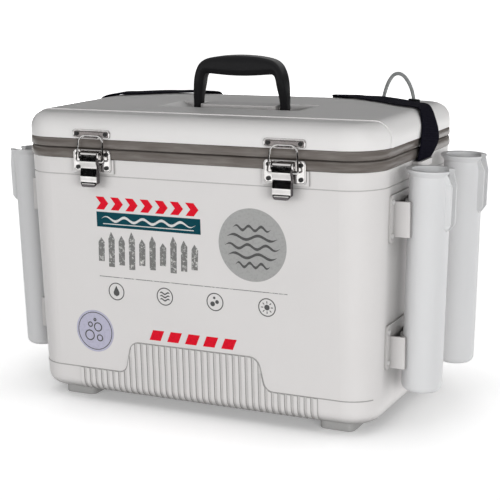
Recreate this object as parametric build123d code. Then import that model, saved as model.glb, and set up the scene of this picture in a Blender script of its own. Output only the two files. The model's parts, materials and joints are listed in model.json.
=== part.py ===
"""Aerated bait bucket: an insulated tank with a latched lid, four rod holders and a battery air pump.

Millimetres. X runs along the front, the front faces -Y, Z is up. The pieces are drawn about the middle
of the tank, and stand() moves them so that the origin lies under the middle of the whole object.
"""
import os
from math import cos, radians, sin, tan

from build123d import *

# ---------------------------------------------------------------- tank and lid
collar_width = 475.0      # outside of the two dark collars, the widest part of the tank
collar_depth = 302.4
collar_corner = 47.0
collar_edge = 1.6         # rounding of the collars' outer edges
collar_step = 2.0         # the collars stand this far proud of the tank below them
draft_angle = 1.44        # the tank narrows downwards by this much on each side
foot_height = 12.0
foot_width = 44.0
foot_length = 40.0
foot_from_side = 60.0     # from the collar's end to the middle of a foot
foot_from_front = 47.2
collar_low = 310.0        # underside of the tank's collar
collar_height = 12.5      # of the tank's collar, up to the middle of the seam
seam_gap = 1.2
lid_collar_height = 11.5
lid_height = 29.1         # the lid's skin above its collar
lid_corner = 48.0
lid_round = 20.0          # rounding of the lid's top edge
saddle_rise = 1.2         # a broad band across the lid stands this far proud
saddle_half = 107.0
shell_wall = 3.0
liner_wall = 2.5
tank_wall = 22.0          # outer face to tank, foam between the two skins
base_round = 16.0
groove_drop = 20.0        # a fine line runs round the tank this far below the collar
groove_width = 1.2
groove_depth = 0.7

# ribbed panel at the foot of the front
rib_pitch = 8.4
rib_width = 4.6
rib_rise = 1.3
rib_panel_half = 163.0
rib_panel_low_top = 42.5
rib_panel_high_top = 83.0
rib_step_outer = 95.0
rib_step_inner = 86.0
rib_step_round = 13.0

# gasket between the collars
gasket_width = 6.0
gasket_depth = 4.0
gasket_inset = 9.0        # from the collar's outer face to the gasket
gasket_squeeze_gap = 0.1  # what is left between the gasket and the tank's collar

# ---------------------------------------------------------------- rear hinges
hinge_from_side = 65.5    # from the collar's end to the middle of a hinge
hinge_leaf_width = 36.0
hinge_leaf_height = 10.4
hinge_leaf = 1.2
hinge_knuckle = 3.2
hinge_pin = 1.6
hinge_clearance = 0.05
hinge_knuckle_gap = 0.4
hinge_screw_x = 11.0
hinge_screw = 1.9         # radius of a screw's head
hinge_screw_head = 0.9
hinge_pin_cap = 0.9       # a pin's ends are wider than it by this much
hinge_standoff = 0.9      # how far the knuckles are let into the leaves

# ---------------------------------------------------------------- carrying handle
handle_sink = 2.7         # the pivots lie this far below the lid's top
handle_depth = 22.0       # front to back at the grip
handle_foot_depth = 14.0  # front to back at the pivots
handle_rise = 66.2        # from the pivots to the top of the grip
handle_grip = 25.6        # height of the grip at its middle
handle_leg_out = 65.0     # outside of a leg at its foot
handle_leg = 10.6         # width of a leg at its foot
# points of half the outlines between a foot and the grip, as shares of half width and height above the pivots
handle_outer = ((0.994, 0.25), (0.968, 0.47), (0.936, 0.63), (0.893, 0.75), (0.84, 0.835), (0.75, 0.9),
                (0.62, 0.944), (0.4, 0.98))
handle_inner = ((0.5, 1.02), (0.78, 1.05), (0.865, 1.035), (0.912, 0.95), (0.94, 0.78), (0.975, 0.47))
handle_flare = (0.17, 0.58)   # between these shares of its height a leg grows to the grip's depth
handle_edge = 3.0
handle_pin = 3.0
handle_pin_hold = 16.0    # how far a pin reaches into the block
handle_cap = 2.0          # what is left of a leg outside its pin
handle_clearance = 0.05
handle_foot_radius = 7.5
block_half_width = 52.0   # white block between the legs
block_half_depth = 18.0
block_rise = 2.7          # the block's top above the lid's
block_side_gap = 1.6
block_chamfer = 7.0
block_edge = 1.2
recess_half_width = 97.0  # shallow recess of the lid round the handle
recess_depth = 6.3        # below the lid's top
recess_front = 44.0
recess_back = 26.0
recess_end_slope = 14.0
well_depth = 9.5          # deeper wells for the feet of the handle's legs
well_gap = 4.0

# ---------------------------------------------------------------- draw latches
latch_from_side = 110.2   # from the collar's end to the middle of a latch
plate_width = 52.0
plate_thick = 1.2
base_plate_height = 26.8
base_plate_drop = 0.7     # from the seam down to the base plate
strike_lift = 0.6         # from the lid's collar up to the strike
strike_height = 11.0
ledge_half_width = 9.0
ledge_reach = 4.1
ledge_lift = 2.0          # the ledge's top above the strike's lower edge
lever_drop = 6.8          # the lever's pin below the base plate's top
lever_pivot_out = 5.6     # from the base plate's face to the lever's pin
lever_width = 23.6
lever_sheet = 1.2
lever_pin = 1.5
latch_clearance = 0.05
ear_gap = 1.3             # between the lever and each ear of the base plate
ear_root = 5.4            # half height of an ear where it leaves the plate
# side outlines about the lever's pin, (y, z): the ear's free edge, the lever's bowed front, its cheek
ear_outline = ((-2.6, 4.0), (-4.2, 1.6), (-4.2, -1.6), (-2.6, -3.6))
lever_bow = ((-4.3, 2.6), (-4.6, -11.0), (-2.8, -17.0), (-2.8, -29.0), (-6.2, -36.5))
lever_cheek = ((-3.4, 2.6), (-2.0, 4.2), (2.2, 4.2), (3.6, 1.5), (3.6, -8.5), (0.5, -11.5), (-3.4, -13.0))
plate_corner = 4.0
plate_screw_x = 20.0
base_screw_inset = 5.25   # from the base plate's ends to its screws
bail_drop = 7.0           # the bail hangs in the lever this far below the lever's pin
bail_wire = 1.1
bail_half_low = 19.0
bail_half_high = 16.4
bail_corner = 9.0
screw_radius = 2.6
screw_head = 1.5

# ---------------------------------------------------------------- rod holders
tube_radius = 23.8
tube_wall = 2.4
tube_floor = 3.0
tube_drop = 2.2           # the tubes' mouths lie this far below the collar
tube_bottom = 46.0
tube_lean = 1.66          # degrees, leaning outwards as they rise
tube_stand = 25.3         # from the collar's end to where a tube's axis would meet the ground
tube_front_y = -70.0
tube_rear_y = 60.0
tube_rim = 4.0
tube_rim_height = 1.8
tube_flare = 5.5          # height of the cone between the rim and the tube
tube_end_round = 8.0
slot_width = 14.0         # slot for a reel's foot
slot_depth = 69.0
slot_mouth = 23.0
slot_mouth_depth = 17.0
slot_frame = 3.0
slot_frame_rise = 5.0
slot_frame_slope = 18.0   # the frame rises from the tube over this height below the mouth
slot_frame_end = 10.0     # and falls back to it over this height at its foot
bracket_width = 68.0
bracket_plate = 2.6
bracket_box_width = 48.0
bracket_seat = 13.7       # a bracket's box ends this far short of the tube's axis
bracket_wall = 3.5        # round the pocket in the box's top
bracket_pocket = 24.0
upper_flange = (83.3, 27.8)    # bottom and top of a flange and its box, down from the tubes' mouths
upper_box = (76.8, 35.8)
lower_flange = (28.0, 81.0)    # and up from the tubes' ends
lower_box = (29.0, 67.0)
bracket_corner = 5.0
bracket_screw_z = 8.0     # a screw's distance from the flange's end and side
bracket_screw_y = 5.5

# ---------------------------------------------------------------- shoulder strap
lug_y = -6.5
lug_width = 44.0
lug_height = 7.0
lug_reach = 9.0
lug_drop = 1.5            # from the collar down to a lug
strap_width = 38.0
strap_thick = 1.8
strap_gap = 1.0           # kept between the webbing and what it lies on
strap_fall = 180.0        # how far the slack hangs behind, below the hinge line
strap_slack_x = -20.0     # the lowest point of the slack

# ---------------------------------------------------------------- air pump and line
pump_from_side = 100.5    # from the collar's end to the middle of the pump
pump_width = 80.0
pump_height = 126.0
pump_drop = 26.0          # from the collar down to the pump
pump_depth = 46.0
hanger_half = 24.0        # half width of the plate that the pump hangs on
hanger_height = 84.0
hanger_drop = 12.0        # from the pump's top down to the plate's
pump_standoff = 8.0       # from the tank's collar line to the back of the pump
case_wall = 2.0
case_round = 6.0
case_split = 20.0         # depth of the rear half of the casing
cell_radius = 16.6
cell_length = 61.0
cell_button = 1.5
cell_button_radius = 4.7
door_width = 70.0
door_height = 64.0
door_thick = 2.4
diaphragm_half = 12.0
diaphragm_front = 14.0
diaphragm_back = 18.0
diaphragm_height = 34.0
motor_radius = 12.0
motor_length = 30.0
switch_travel = 5.0
switch_width = 9.0
switch_height = 6.0
switch_stem = 4.0
switch_gap = 0.4
nozzle_offset = 24.0      # from the pump's middle to its nozzle
nozzle_radius = 1.9
nozzle_length = 15.0
nozzle_gap = 0.4
hose_radius = 2.5
# corners of the flexible line from the nozzle's tip over its loop, the last two being the fitting's
hose_route = ((0, 0, 0), (0, 0, 20), (-2, 8, 44), (-1, 14, 63), (1, 16, 79), (13, 16, 90.5), (29, 16, 90.5),
              (40, 16, 79), (43, 15, 62), (45, 12, 43), (47, 8, 24), (51, -6, 4))
fitting_from_side = 71.5  # from the collar's end to the fitting's middle
fitting_drop = 13.0       # from the collar down to the fitting's middle
fitting_radius = 4.0
fitting_flange = 8.0
fitting_barb = 11.0
fitting_clearance = 0.2
down_tube_radius = 3.0
down_tube_bend = 12.0
clip_height = 90.0        # of the lower clip above the tank's floor
clip_step = 110.0
airstone_radius = 9.0
airstone_gap = 5.5        # between the stone and the tank's rear wall
airstone_length = 52.0
airstone_offset = 96.0    # from the fitting's middle to the stone's far end

# ---------------------------------------------------------------- derived sizes
body_width = collar_width - 2 * collar_step
body_depth = collar_depth - 2 * collar_step
body_corner = collar_corner - collar_step
body_low = foot_height
tank_floor = body_low + tank_wall
seam_height = collar_low + collar_height   # also the height of the hinge axis
collar_high = seam_height - seam_gap / 2
lid_collar_low = seam_height + seam_gap / 2
lid_low = lid_collar_low + lid_collar_height   # top of the lid's collar
lid_top = lid_low + lid_height
groove_height = collar_low - groove_drop
front = -collar_depth / 2
back = collar_depth / 2
side = collar_width / 2
foot_spread_x = side - foot_from_side
foot_spread_y = back - foot_from_front
hinge_x = side - hinge_from_side
latch_x = side - latch_from_side
tube_x_at_floor = side + tube_stand
pump_x = side - pump_from_side
nozzle_x = pump_x - nozzle_offset
fitting_x = side - fitting_from_side
airstone_x = fitting_x - airstone_offset
hinge_y = back + hinge_leaf + hinge_knuckle - hinge_standoff
plate_face = front - plate_thick
lever_y = plate_face - lever_pivot_out
base_plate_high = seam_height - base_plate_drop
base_plate_low = base_plate_high - base_plate_height
strike_low = lid_low + strike_lift
strike_high = strike_low + strike_height
ledge_top = strike_low + ledge_lift
lever_pivot_height = base_plate_high - lever_drop
bail_height = lever_pivot_height - bail_drop
bail_top = ledge_top + 0.3 + bail_wire
bail_top_y = plate_face - 0.4 - bail_wire
lid_skin_top = lid_top + saddle_rise
handle_pivot_height = lid_top - handle_sink
handle_top = handle_pivot_height + handle_rise
handle_grip_low = handle_top - handle_grip
handle_leg_in = handle_leg_out - handle_leg
block_top = lid_top + block_rise
recess_floor = lid_top - recess_depth
tube_top = collar_low - tube_drop
upper_bracket = (tube_top - upper_flange[0], tube_top - upper_flange[1])
upper_bracket_box = (tube_top - upper_box[0], tube_top - upper_box[1])
lower_bracket = (tube_bottom + lower_flange[0], tube_bottom + lower_flange[1])
lower_bracket_box = (tube_bottom + lower_box[0], tube_bottom + lower_box[1])
lug_top = collar_low - lug_drop
fitting_height = collar_low - fitting_drop
pump_top = collar_low - pump_drop
pump_back = back + pump_standoff
pump_face = pump_back + pump_depth
pump_low = pump_top - pump_height


# ---------------------------------------------------------------- helpers
def block(x, y, z):
    """A box between two values on each axis."""
    middle = Pos((x[0] + x[1]) / 2, (y[0] + y[1]) / 2, (z[0] + z[1]) / 2)
    return middle * Box(x[1] - x[0], y[1] - y[0], z[1] - z[0])


def slab(width, depth, corner, low, high):
    """An upright prism with rounded corners in plan."""
    return Pos(0, 0, low) * extrude(RectangleRounded(width, depth, corner), high - low)


def rod(radius, start, end):
    """A cylinder from one point to another."""
    start, end = Vector(*start), Vector(*end)
    along = end - start
    return Plane(origin=start, z_dir=along) * extrude(Circle(radius), along.length)


def crosswise(radius, x, y, z):
    """A cylinder along X between two values of x."""
    return rod(radius, (x[0], y, z), (x[1], y, z))


def drafted(inset, low, high, edge=0.0):
    """The tank's tapering form between two heights, moved in by inset, its lower edge rounded."""
    lost = inset + (collar_low - high) * tan(radians(draft_angle))
    section = RectangleRounded(body_width - 2 * lost, body_depth - 2 * lost, body_corner - lost)
    form = extrude(Pos(0, 0, high) * section, amount=low - high, taper=draft_angle)
    if edge:
        form = fillet(form.faces().sort_by(Axis.Z)[0].edges(), edge)
    return form


def both_sides(piece):
    """A piece and its mirror image across the middle of the front."""
    return [piece, mirror(piece, about=Plane.YZ)]


def profile(points, x):
    """A flat outline given as (y, z), extruded between two values of x."""
    face = make_face(Polyline(*[(0, y, z) for y, z in points], close=True))
    return extrude(Pos(x[0], 0, 0) * face, amount=x[1] - x[0], dir=(1, 0, 0))


def wire_form(points, radii, radius):
    """A round wire bent along a line of points."""
    path = FilletPolyline(*points, radius=radii)
    return sweep(Plane(origin=path @ 0, z_dir=path % 0) * Circle(radius), path=path)


# ---------------------------------------------------------------- tank
def rib_comb():
    """Upright strips under the stepped outline of the ribbed panel, through the front wall."""
    step = [
        (-rib_panel_half, rib_panel_low_top),
        (-rib_step_outer, rib_panel_low_top),
        (-rib_step_inner, rib_panel_high_top),
        (rib_step_inner, rib_panel_high_top),
        (rib_step_outer, rib_panel_low_top),
        (rib_panel_half, rib_panel_low_top),
    ]
    rim = FilletPolyline(*step, radius=rib_step_round)
    foot = Polyline(step[-1], (rib_panel_half, body_low - 1), (-rib_panel_half, body_low - 1), step[0])
    outline = make_face(rim.edges() + foot.edges())
    steps = int(rib_panel_half / rib_pitch)
    places = [Pos(i * rib_pitch, 100) for i in range(-steps, steps + 1)]
    strips = Sketch() + [place * Rectangle(rib_width, 400) for place in places]
    upright = Plane(origin=(0, 0, 0), x_dir=(1, 0, 0), z_dir=(0, -1, 0))
    return extrude(upright * (outline & strips), amount=collar_depth)


def outer_shell():
    outside = drafted(0, body_low, collar_low, base_round)
    groove = (groove_height - groove_width / 2, groove_height + groove_width / 2)
    outside -= slab(collar_width, collar_depth, collar_corner, *groove) - drafted(groove_depth, *groove)
    ribs = drafted(-rib_rise, body_low, collar_low, base_round) & rib_comb()
    pad_low = base_plate_low - 2
    pad = block((latch_x - 29, latch_x + 29), (front, front + collar_step + 3), (pad_low, collar_low))
    inside = drafted(shell_wall, body_low + shell_wall, collar_low, base_round - shell_wall)
    shell = outside + ribs + both_sides(pad) - inside
    return shell - fitting_hole()


def inner_liner():
    skin = tank_wall - liner_wall
    outside = drafted(skin, tank_floor - liner_wall, collar_low, base_round - 2)
    inside = drafted(tank_wall, tank_floor, collar_low, base_round - 2 - liner_wall)
    return outside - inside - fitting_hole()


def foam_core():
    outside = drafted(shell_wall, body_low + shell_wall, collar_low, base_round - shell_wall)
    inside = drafted(tank_wall - liner_wall, tank_floor - liner_wall, collar_low, base_round - 2)
    return outside - inside - fitting_hole()


def collar_ring(low, high):
    """A collar: a band between the outside of the tank and the mouth of its liner."""
    outer = slab(collar_width, collar_depth, collar_corner, low, high)
    outer = fillet(outer.faces().sort_by(Axis.Z)[0].edges(), collar_edge)
    outer = fillet(outer.faces().sort_by(Axis.Z)[-1].edges(), collar_edge)
    mouth = slab(body_width - 2 * tank_wall, body_depth - 2 * tank_wall, body_corner - tank_wall,
                 low - 1, high + 1)
    return outer - mouth


def gasket_band(low, high):
    outer = slab(collar_width - 2 * gasket_inset, collar_depth - 2 * gasket_inset,
                 collar_corner - gasket_inset, low, high)
    within = gasket_inset + gasket_width
    inner = slab(collar_width - 2 * within, collar_depth - 2 * within, collar_corner - within,
                 low - 1, high + 1)
    return outer - inner


def feet():
    foot = slab(foot_width, foot_length, 8, 0, foot_height + 1)
    foot = Pos(foot_spread_x, foot_spread_y, 0) * fillet(foot.faces().sort_by(Axis.Z)[0].edges(), 1.5)
    feet_right = [foot, mirror(foot, about=Plane.XZ)]
    trimmed = [piece - drafted(0, body_low, collar_low, base_round) for piece in feet_right]
    return [solid for piece in trimmed for solid in both_sides(piece)]


# ---------------------------------------------------------------- lid
def recess(grow=0.0):
    """The shallow recess of the lid round the handle, with sloping ends, and its two wells."""
    top = lid_skin_top + 1
    floor = recess_floor - grow
    half = recess_half_width + grow
    outline = [(-half, lid_skin_top), (-half, top), (half, top), (half, lid_skin_top),
               (half - recess_end_slope, floor), (recess_end_slope - half, floor)]
    upright = Plane(origin=(0, recess_back + grow, 0), x_dir=(1, 0, 0), z_dir=(0, -1, 0))
    face = make_face(Polyline(*outline, close=True))
    pan = extrude(upright * face, amount=recess_front + recess_back + 2 * grow)
    out = well_gap + grow
    well = block((handle_leg_in - block_side_gap - grow, handle_leg_out + block_side_gap + grow),
                 (-handle_foot_radius - out, handle_foot_radius + out),
                 (handle_pivot_height - well_depth - grow, top))
    return pan + both_sides(well)


def lid_form(grow, low, top):
    form = slab(collar_width + 2 * grow, collar_depth + 2 * grow, lid_corner + grow, low, top)
    return fillet(form.faces().sort_by(Axis.Z)[-1].edges(), lid_round + grow)


def lid_outside():
    saddle = lid_form(saddle_rise, lid_low, lid_skin_top)
    saddle &= block((-collar_width, collar_width), (-saddle_half, saddle_half), (lid_low, lid_skin_top))
    return lid_form(0, lid_low, lid_top) + saddle


def lid_cavity():
    return lid_form(-shell_wall, lid_low, lid_top - shell_wall)


def lid_shell():
    skin = lid_outside() - lid_cavity()
    pan = recess(shell_wall) & lid_cavity()
    return skin + pan - recess()


def lid_liner():
    plate = slab(collar_width - 2 * shell_wall, collar_depth - 2 * shell_wall, lid_corner - shell_wall,
                 lid_low, lid_low + liner_wall)
    field = slab(body_width - 3 * tank_wall, body_depth - 3 * tank_wall, body_corner - tank_wall,
                 lid_low - 1, lid_low + 0.8)
    return plate - field


def lid_foam():
    filled = lid_cavity() - slab(collar_width, collar_depth, lid_corner, lid_low, lid_low + liner_wall)
    return filled - recess(shell_wall)


def lid_collar():
    seat = gasket_band(lid_collar_low - 1, lid_collar_low + gasket_depth)
    return collar_ring(lid_collar_low, lid_low) - seat


def lid_gasket():
    return gasket_band(collar_high + gasket_squeeze_gap, lid_collar_low + gasket_depth)


# ---------------------------------------------------------------- rear hinges
def hinge_leaf_piece(up):
    """One leaf with its knuckles: two at the ends on the tank's leaf, one in the middle on the lid's."""
    half = hinge_leaf_width / 2
    low = seam_height if up else seam_height - hinge_leaf_height
    leaf = block((-half, half), (back, back + hinge_leaf), (low, low + hinge_leaf_height))
    third = hinge_leaf_width / 3
    gap = hinge_knuckle_gap / 2
    middle = (-third / 2 + gap, third / 2 - gap)
    ends = [(-half, -third / 2 - gap), (third / 2 + gap, half)]
    spans, clear = ([middle], ends) if up else (ends, [middle])
    for start, end in spans:
        leaf += crosswise(hinge_knuckle, (start, end), hinge_y, seam_height)
    for start, end in clear:
        around = hinge_knuckle + hinge_knuckle_gap
        leaf -= crosswise(around, (start - gap, end + gap), hinge_y, seam_height)
    leaf -= crosswise(hinge_pin + hinge_clearance, (-half - 1, half + 1), hinge_y, seam_height)
    leaf -= block((-half, half), (0, back), (low - hinge_knuckle, low + hinge_leaf_height))
    return both_sides(Pos(hinge_x, 0, 0) * leaf)


def hinge_pins():
    half = hinge_leaf_width / 2
    stem = half + 0.5
    pin = crosswise(hinge_pin, (-stem, stem), hinge_y, seam_height)
    for cap in ((half + 0.1, half + 1.1), (-half - 1.1, -half - 0.1)):
        pin += crosswise(hinge_pin + hinge_pin_cap, cap, hinge_y, seam_height)
    return both_sides(Pos(hinge_x, 0, 0) * pin)


def hinge_screws(up):
    height = seam_height + (1 if up else -1) * (hinge_knuckle + hinge_leaf_height) / 2
    seat = back + hinge_leaf
    row = [rod(hinge_screw, (x, seat, height), (x, seat + hinge_screw_head, height))
           for x in (hinge_x - hinge_screw_x, hinge_x + hinge_screw_x)]
    return [solid for screw in row for solid in both_sides(screw)]


# ---------------------------------------------------------------- carrying handle
def handle_frame():
    """One moulding: two legs on the pivots and a grip, thinner front to back at its feet."""
    low = handle_pivot_height - handle_foot_radius
    inner_rise = handle_grip_low - handle_pivot_height
    curve_low = handle_pivot_height + handle_foot_radius
    outer = [(x * handle_leg_out, handle_pivot_height + z * handle_rise) for x, z in handle_outer]
    inner = [(x * handle_leg_in, handle_pivot_height + z * inner_rise) for x, z in handle_inner]
    outer = [(handle_leg_out, curve_low)] + outer + [(0, handle_top)]
    inner = [(0, handle_grip_low)] + inner + [(handle_leg_in, curve_low)]
    half_outline = Line((handle_leg_out, low), outer[0]) + Spline(*outer, tangents=((0, 1), (-1, 0)))
    half_outline += Line((0, handle_top), (0, handle_grip_low)) + Spline(*inner, tangents=((1, 0), (0, -1)))
    half_outline += Polyline(inner[-1], (handle_leg_in, low), (handle_leg_out, low))
    upright = Plane(origin=(0, 0, 0), x_dir=(1, 0, 0), z_dir=(0, -1, 0))
    half = extrude(upright * make_face(half_outline), amount=handle_depth / 2, both=True)
    body = half + mirror(half, about=Plane.YZ)
    face_edges = body.edges().filter_by(
        lambda edge: edge.center().Z > low + 1 and abs(edge.center().Y) > handle_depth / 2 - 0.2)
    body = fillet(face_edges, handle_edge)
    deep, shallow = handle_depth / 2 + 1, handle_foot_depth / 2
    thin, full = (handle_pivot_height + share * handle_rise for share in handle_flare)
    span = (-handle_leg_out - 1, handle_leg_out + 1)
    for turn in (1, -1):
        body -= profile([(turn * deep, low - 1), (turn * deep, full), (turn * shallow, thin),
                         (turn * shallow, low - 1)], span)
    rounding = crosswise(handle_foot_radius, span, 0, handle_pivot_height)
    feet_zone = block(span, (-deep, deep), (low - 1, handle_pivot_height))
    body -= feet_zone - rounding
    reach = handle_leg_out - handle_cap
    return body - crosswise(handle_pin + handle_clearance, (-reach, reach), 0, handle_pivot_height)


def handle_block():
    base = block((-block_half_width, block_half_width), (-block_half_depth, block_half_depth),
                 (recess_floor, block_top))
    base = chamfer(base.edges().filter_by(Axis.Z), block_chamfer)
    base = fillet(base.faces().sort_by(Axis.Z)[-1].edges(), block_edge)
    return base - pin_bores() - recess_wells()


def recess_wells():
    return both_sides(block((handle_leg_in - block_side_gap, handle_leg_out),
                            (-handle_foot_radius - well_gap, handle_foot_radius + well_gap),
                            (recess_floor - 1, block_top + 1)))


def pin_bores():
    """Bores of the block that hold the two pivot pins."""
    inner = handle_leg_in - handle_pin_hold
    return both_sides(crosswise(handle_pin, (inner, handle_leg_in), 0, handle_pivot_height))


def handle_pins():
    span = (handle_leg_in - handle_pin_hold, handle_leg_out - handle_cap - 0.2)
    return both_sides(crosswise(handle_pin, span, 0, handle_pivot_height))


# ---------------------------------------------------------------- draw latches
def latch_plate(low, high):
    tall = high - low
    face = RectangleRounded(plate_width, tall, plate_corner)
    upright = Plane(origin=(0, front, (low + high) / 2), x_dir=(1, 0, 0), z_dir=(0, -1, 0))
    return extrude(upright * face, amount=plate_thick)


def latch_base():
    """The plate on the tank, with two ears that carry the lever's pin."""
    plate = latch_plate(base_plate_low, base_plate_high)
    inner = lever_width / 2 + ear_gap
    points = [(lever_y + y, lever_pivot_height + z) for y, z in ear_outline]
    points.insert(0, (plate_face, lever_pivot_height + ear_root))
    points.append((plate_face, lever_pivot_height - ear_root))
    for x in ((inner, inner + plate_thick), (-inner - plate_thick, -inner)):
        plate += profile(points, x)
    reach = inner + plate_thick + 1
    return plate - crosswise(lever_pin, (-reach, reach), lever_y, lever_pivot_height)


def latch_pin():
    reach = lever_width / 2 + ear_gap + plate_thick + 0.8
    return crosswise(lever_pin, (-reach, reach), lever_y, lever_pivot_height)


def latch_lever():
    """The sheet-metal lever: a bowed front with a lifted tip, and two cheeks on the pin."""
    outline = list(lever_bow) + [(y + lever_sheet, z) for y, z in reversed(lever_bow)]
    half = lever_width / 2
    place = [(lever_y + y, lever_pivot_height + z) for y, z in outline]
    lever = profile(place, (-half, half))
    cheek_points = [(lever_y + y, lever_pivot_height + z) for y, z in lever_cheek]
    for x in ((half - lever_sheet, half), (-half, lever_sheet - half)):
        lever += profile(cheek_points, x)
    for height, radius in ((lever_pivot_height, lever_pin), (bail_height, bail_wire)):
        lever -= crosswise(radius + latch_clearance, (-half - 1, half + 1), lever_y, height)
    return lever


def latch_bail():
    """The bent wire that hangs in the lever's cheeks and hooks over the strike's ledge."""
    foot = Vector(0, lever_y, bail_height)
    top = Vector(0, bail_top_y, bail_top)
    up = top - foot
    inward = lever_width / 2 - lever_sheet - 0.4
    flat = [(inward, 0), (bail_half_low, 0), (bail_half_high, 1), (-bail_half_high, 1), (-bail_half_low, 0),
            (-inward, 0)]
    points = [foot + Vector(x, 0, 0) + up * share for x, share in flat]
    return wire_form(points, [2.2, bail_corner, bail_corner, 2.2], bail_wire)


def latch_strike():
    """The plate on the lid with the flat ledge that the bail pulls on."""
    plate = latch_plate(strike_low, strike_high)
    ledge = block((-ledge_half_width, ledge_half_width), (plate_face - ledge_reach, plate_face),
                  (ledge_top - 1.3, ledge_top))
    return plate + ledge


def plate_screws(heights):
    heads = [rod(screw_radius, (x, plate_face, z), (x, plate_face - screw_head, z))
             for x in (-plate_screw_x, plate_screw_x) for z in heights]
    return [Pos(place, 0, 0) * head for place in (-latch_x, latch_x) for head in heads]


def at_latch(piece, turn):
    return Pos(turn * latch_x, 0, 0) * piece


# ---------------------------------------------------------------- rod holders
def tube_frame(y):
    """The plane of a right-hand tube: its origin on the axis at the tube's mouth, +Z up the tube."""
    x = tube_x_at_floor + tube_top * tan(radians(tube_lean))
    return Plane(Location((x, y, tube_top), (0, tube_lean, 0)))


def slot_outline(grow, depth):
    """The reel slot seen from the side: a flared mouth and a round end."""
    half, mouth = slot_width / 2 + grow, slot_mouth / 2 + grow
    end = -depth + slot_width / 2
    sides = Polyline((half, end), (half, -slot_mouth_depth), (mouth, 0), (mouth, 8), (-mouth, 8),
                     (-mouth, 0), (-half, -slot_mouth_depth), (-half, end))
    bottom = ThreePointArc((-half, end), (0, end - half), (half, end))
    return make_face(sides + bottom)


def rod_tube():
    """One rod holder upright at the origin, its mouth at zero height and its slot towards +X."""
    length = (tube_top - tube_bottom) / cos(radians(tube_lean))
    tube = Pos(0, 0, -length) * extrude(Circle(tube_radius), length)
    tube = fillet(tube.faces().sort_by(Axis.Z)[0].edges(), tube_end_round)
    rim = Pos(0, 0, -tube_rim_height) * extrude(Circle(tube_radius + tube_rim), tube_rim_height)
    flare = loft([Pos(0, 0, -tube_rim_height - tube_flare) * Circle(tube_radius),
                  Pos(0, 0, -tube_rim_height) * Circle(tube_radius + tube_rim)])
    outward = Plane(origin=(0, 0, 0), x_dir=(0, 1, 0), z_dir=(1, 0, 0))
    reach = tube_radius + slot_frame_rise
    frame = extrude(outward * slot_outline(slot_frame, slot_depth), reach)
    foot = -slot_depth - slot_frame
    wall = tube_radius - tube_wall / 2
    side_view = Polyline((0, 0), (wall, 0), (reach, -slot_frame_slope), (reach, foot + slot_frame_end),
                         (wall, foot), (0, foot), close=True)
    upright = Plane(origin=(0, 0, 0), x_dir=(1, 0, 0), z_dir=(0, -1, 0))
    frame &= extrude(upright * make_face(side_view), amount=tube_radius, both=True)
    whole = tube + rim + flare + frame
    slot = extrude(outward * slot_outline(0, slot_depth), reach + 5)
    hollow = Pos(0, 0, tube_floor - length) * extrude(Circle(tube_radius - tube_wall), length)
    return whole - slot - hollow


def rod_holder(y):
    return tube_frame(y) * rod_tube()


def wall_x(height):
    """Half the tank's width at a height."""
    return body_width / 2 - (collar_low - height) * tan(radians(draft_angle))


def rod_bracket(y, plate, box):
    """A flanged spacer between the tank's side and a tube, cut to fit both."""
    across = (side - 4 * tank_wall, side + 2 * tube_radius)
    flange = block(across, (y - bracket_width / 2, y + bracket_width / 2), plate)
    flange = fillet(flange.edges().filter_by(Axis.X), bracket_corner)
    flange &= drafted(-bracket_plate, body_low, collar_low)
    end = tube_x_at_floor + box[0] * tan(radians(tube_lean)) - bracket_seat
    half = bracket_box_width / 2
    spacer = block((across[0], end), (y - half, y + half), box)
    pocket = block((wall_x(box[1]) + bracket_plate, end - bracket_wall),
                   (y - half + bracket_wall, y + half - bracket_wall), (box[1] - bracket_pocket, box[1] + 1))
    tube = tube_frame(y) * (Pos(0, 0, -tube_top) * extrude(Circle(tube_radius + bracket_wall), tube_top))
    seat = tube_frame(y) * (Pos(0, 0, -tube_top) * extrude(Circle(tube_radius), tube_top))
    return flange + (spacer - (pocket - tube) - seat) - drafted(0, body_low, collar_low)


def bracket_screws(y, plate):
    """Screw heads at the corners of a bracket's flange, square to the drafted wall."""
    slope = radians(draft_angle)
    out = Vector(cos(slope), 0, -sin(slope))
    heads = []
    for height in (plate[0] + bracket_screw_z, plate[1] - bracket_screw_z):
        for step in (bracket_screw_y - bracket_width / 2, bracket_width / 2 - bracket_screw_y):
            seat = Vector(wall_x(height), y + step, height) + out * bracket_plate
            heads.append(rod(screw_radius, seat, seat + out * screw_head))
    return heads


# ---------------------------------------------------------------- shoulder strap
def strap_lug():
    """The loop under the collar that the webbing goes through."""
    lug = block((side - tank_wall, side + lug_reach), (lug_y - lug_width / 2, lug_y + lug_width / 2),
                (lug_top - lug_height, lug_top))
    lug = fillet(lug.edges().filter_by(Axis.Z).sort_by(Axis.X)[-2:], 4)
    slot_x = (side + saddle_rise + strap_gap - 0.8, side + saddle_rise + strap_gap + strap_thick + 1.2)
    slot = block(slot_x, (lug_y - strap_width / 2 - 1, lug_y + strap_width / 2 + 1),
                 (lug_top - lug_height - 1, lug_top + 1))
    return lug - slot - drafted(0, body_low, collar_low)


def webbing(edges):
    """Flat webbing through pairs of edge points (front edge, rear edge), as one solid for each stretch."""
    middles = [(Vector(*a) + Vector(*b)) * 0.5 for a, b in edges]
    faces = []
    for i, (a, b) in enumerate(edges):
        ahead = middles[min(i + 1, len(edges) - 1)] - middles[max(i - 1, 0)]
        across = Vector(*b) - Vector(*a)
        out = across.cross(ahead).normalized() * strap_thick
        a, b = Vector(*a), Vector(*b)
        faces.append(Face(Wire.make_polygon([a, b, b + out, a + out], close=True)))
    return [Solid.make_loft([faces[i].outer_wire(), faces[i + 1].outer_wire()], ruled=True)
            for i in range(len(faces) - 1)]


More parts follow.
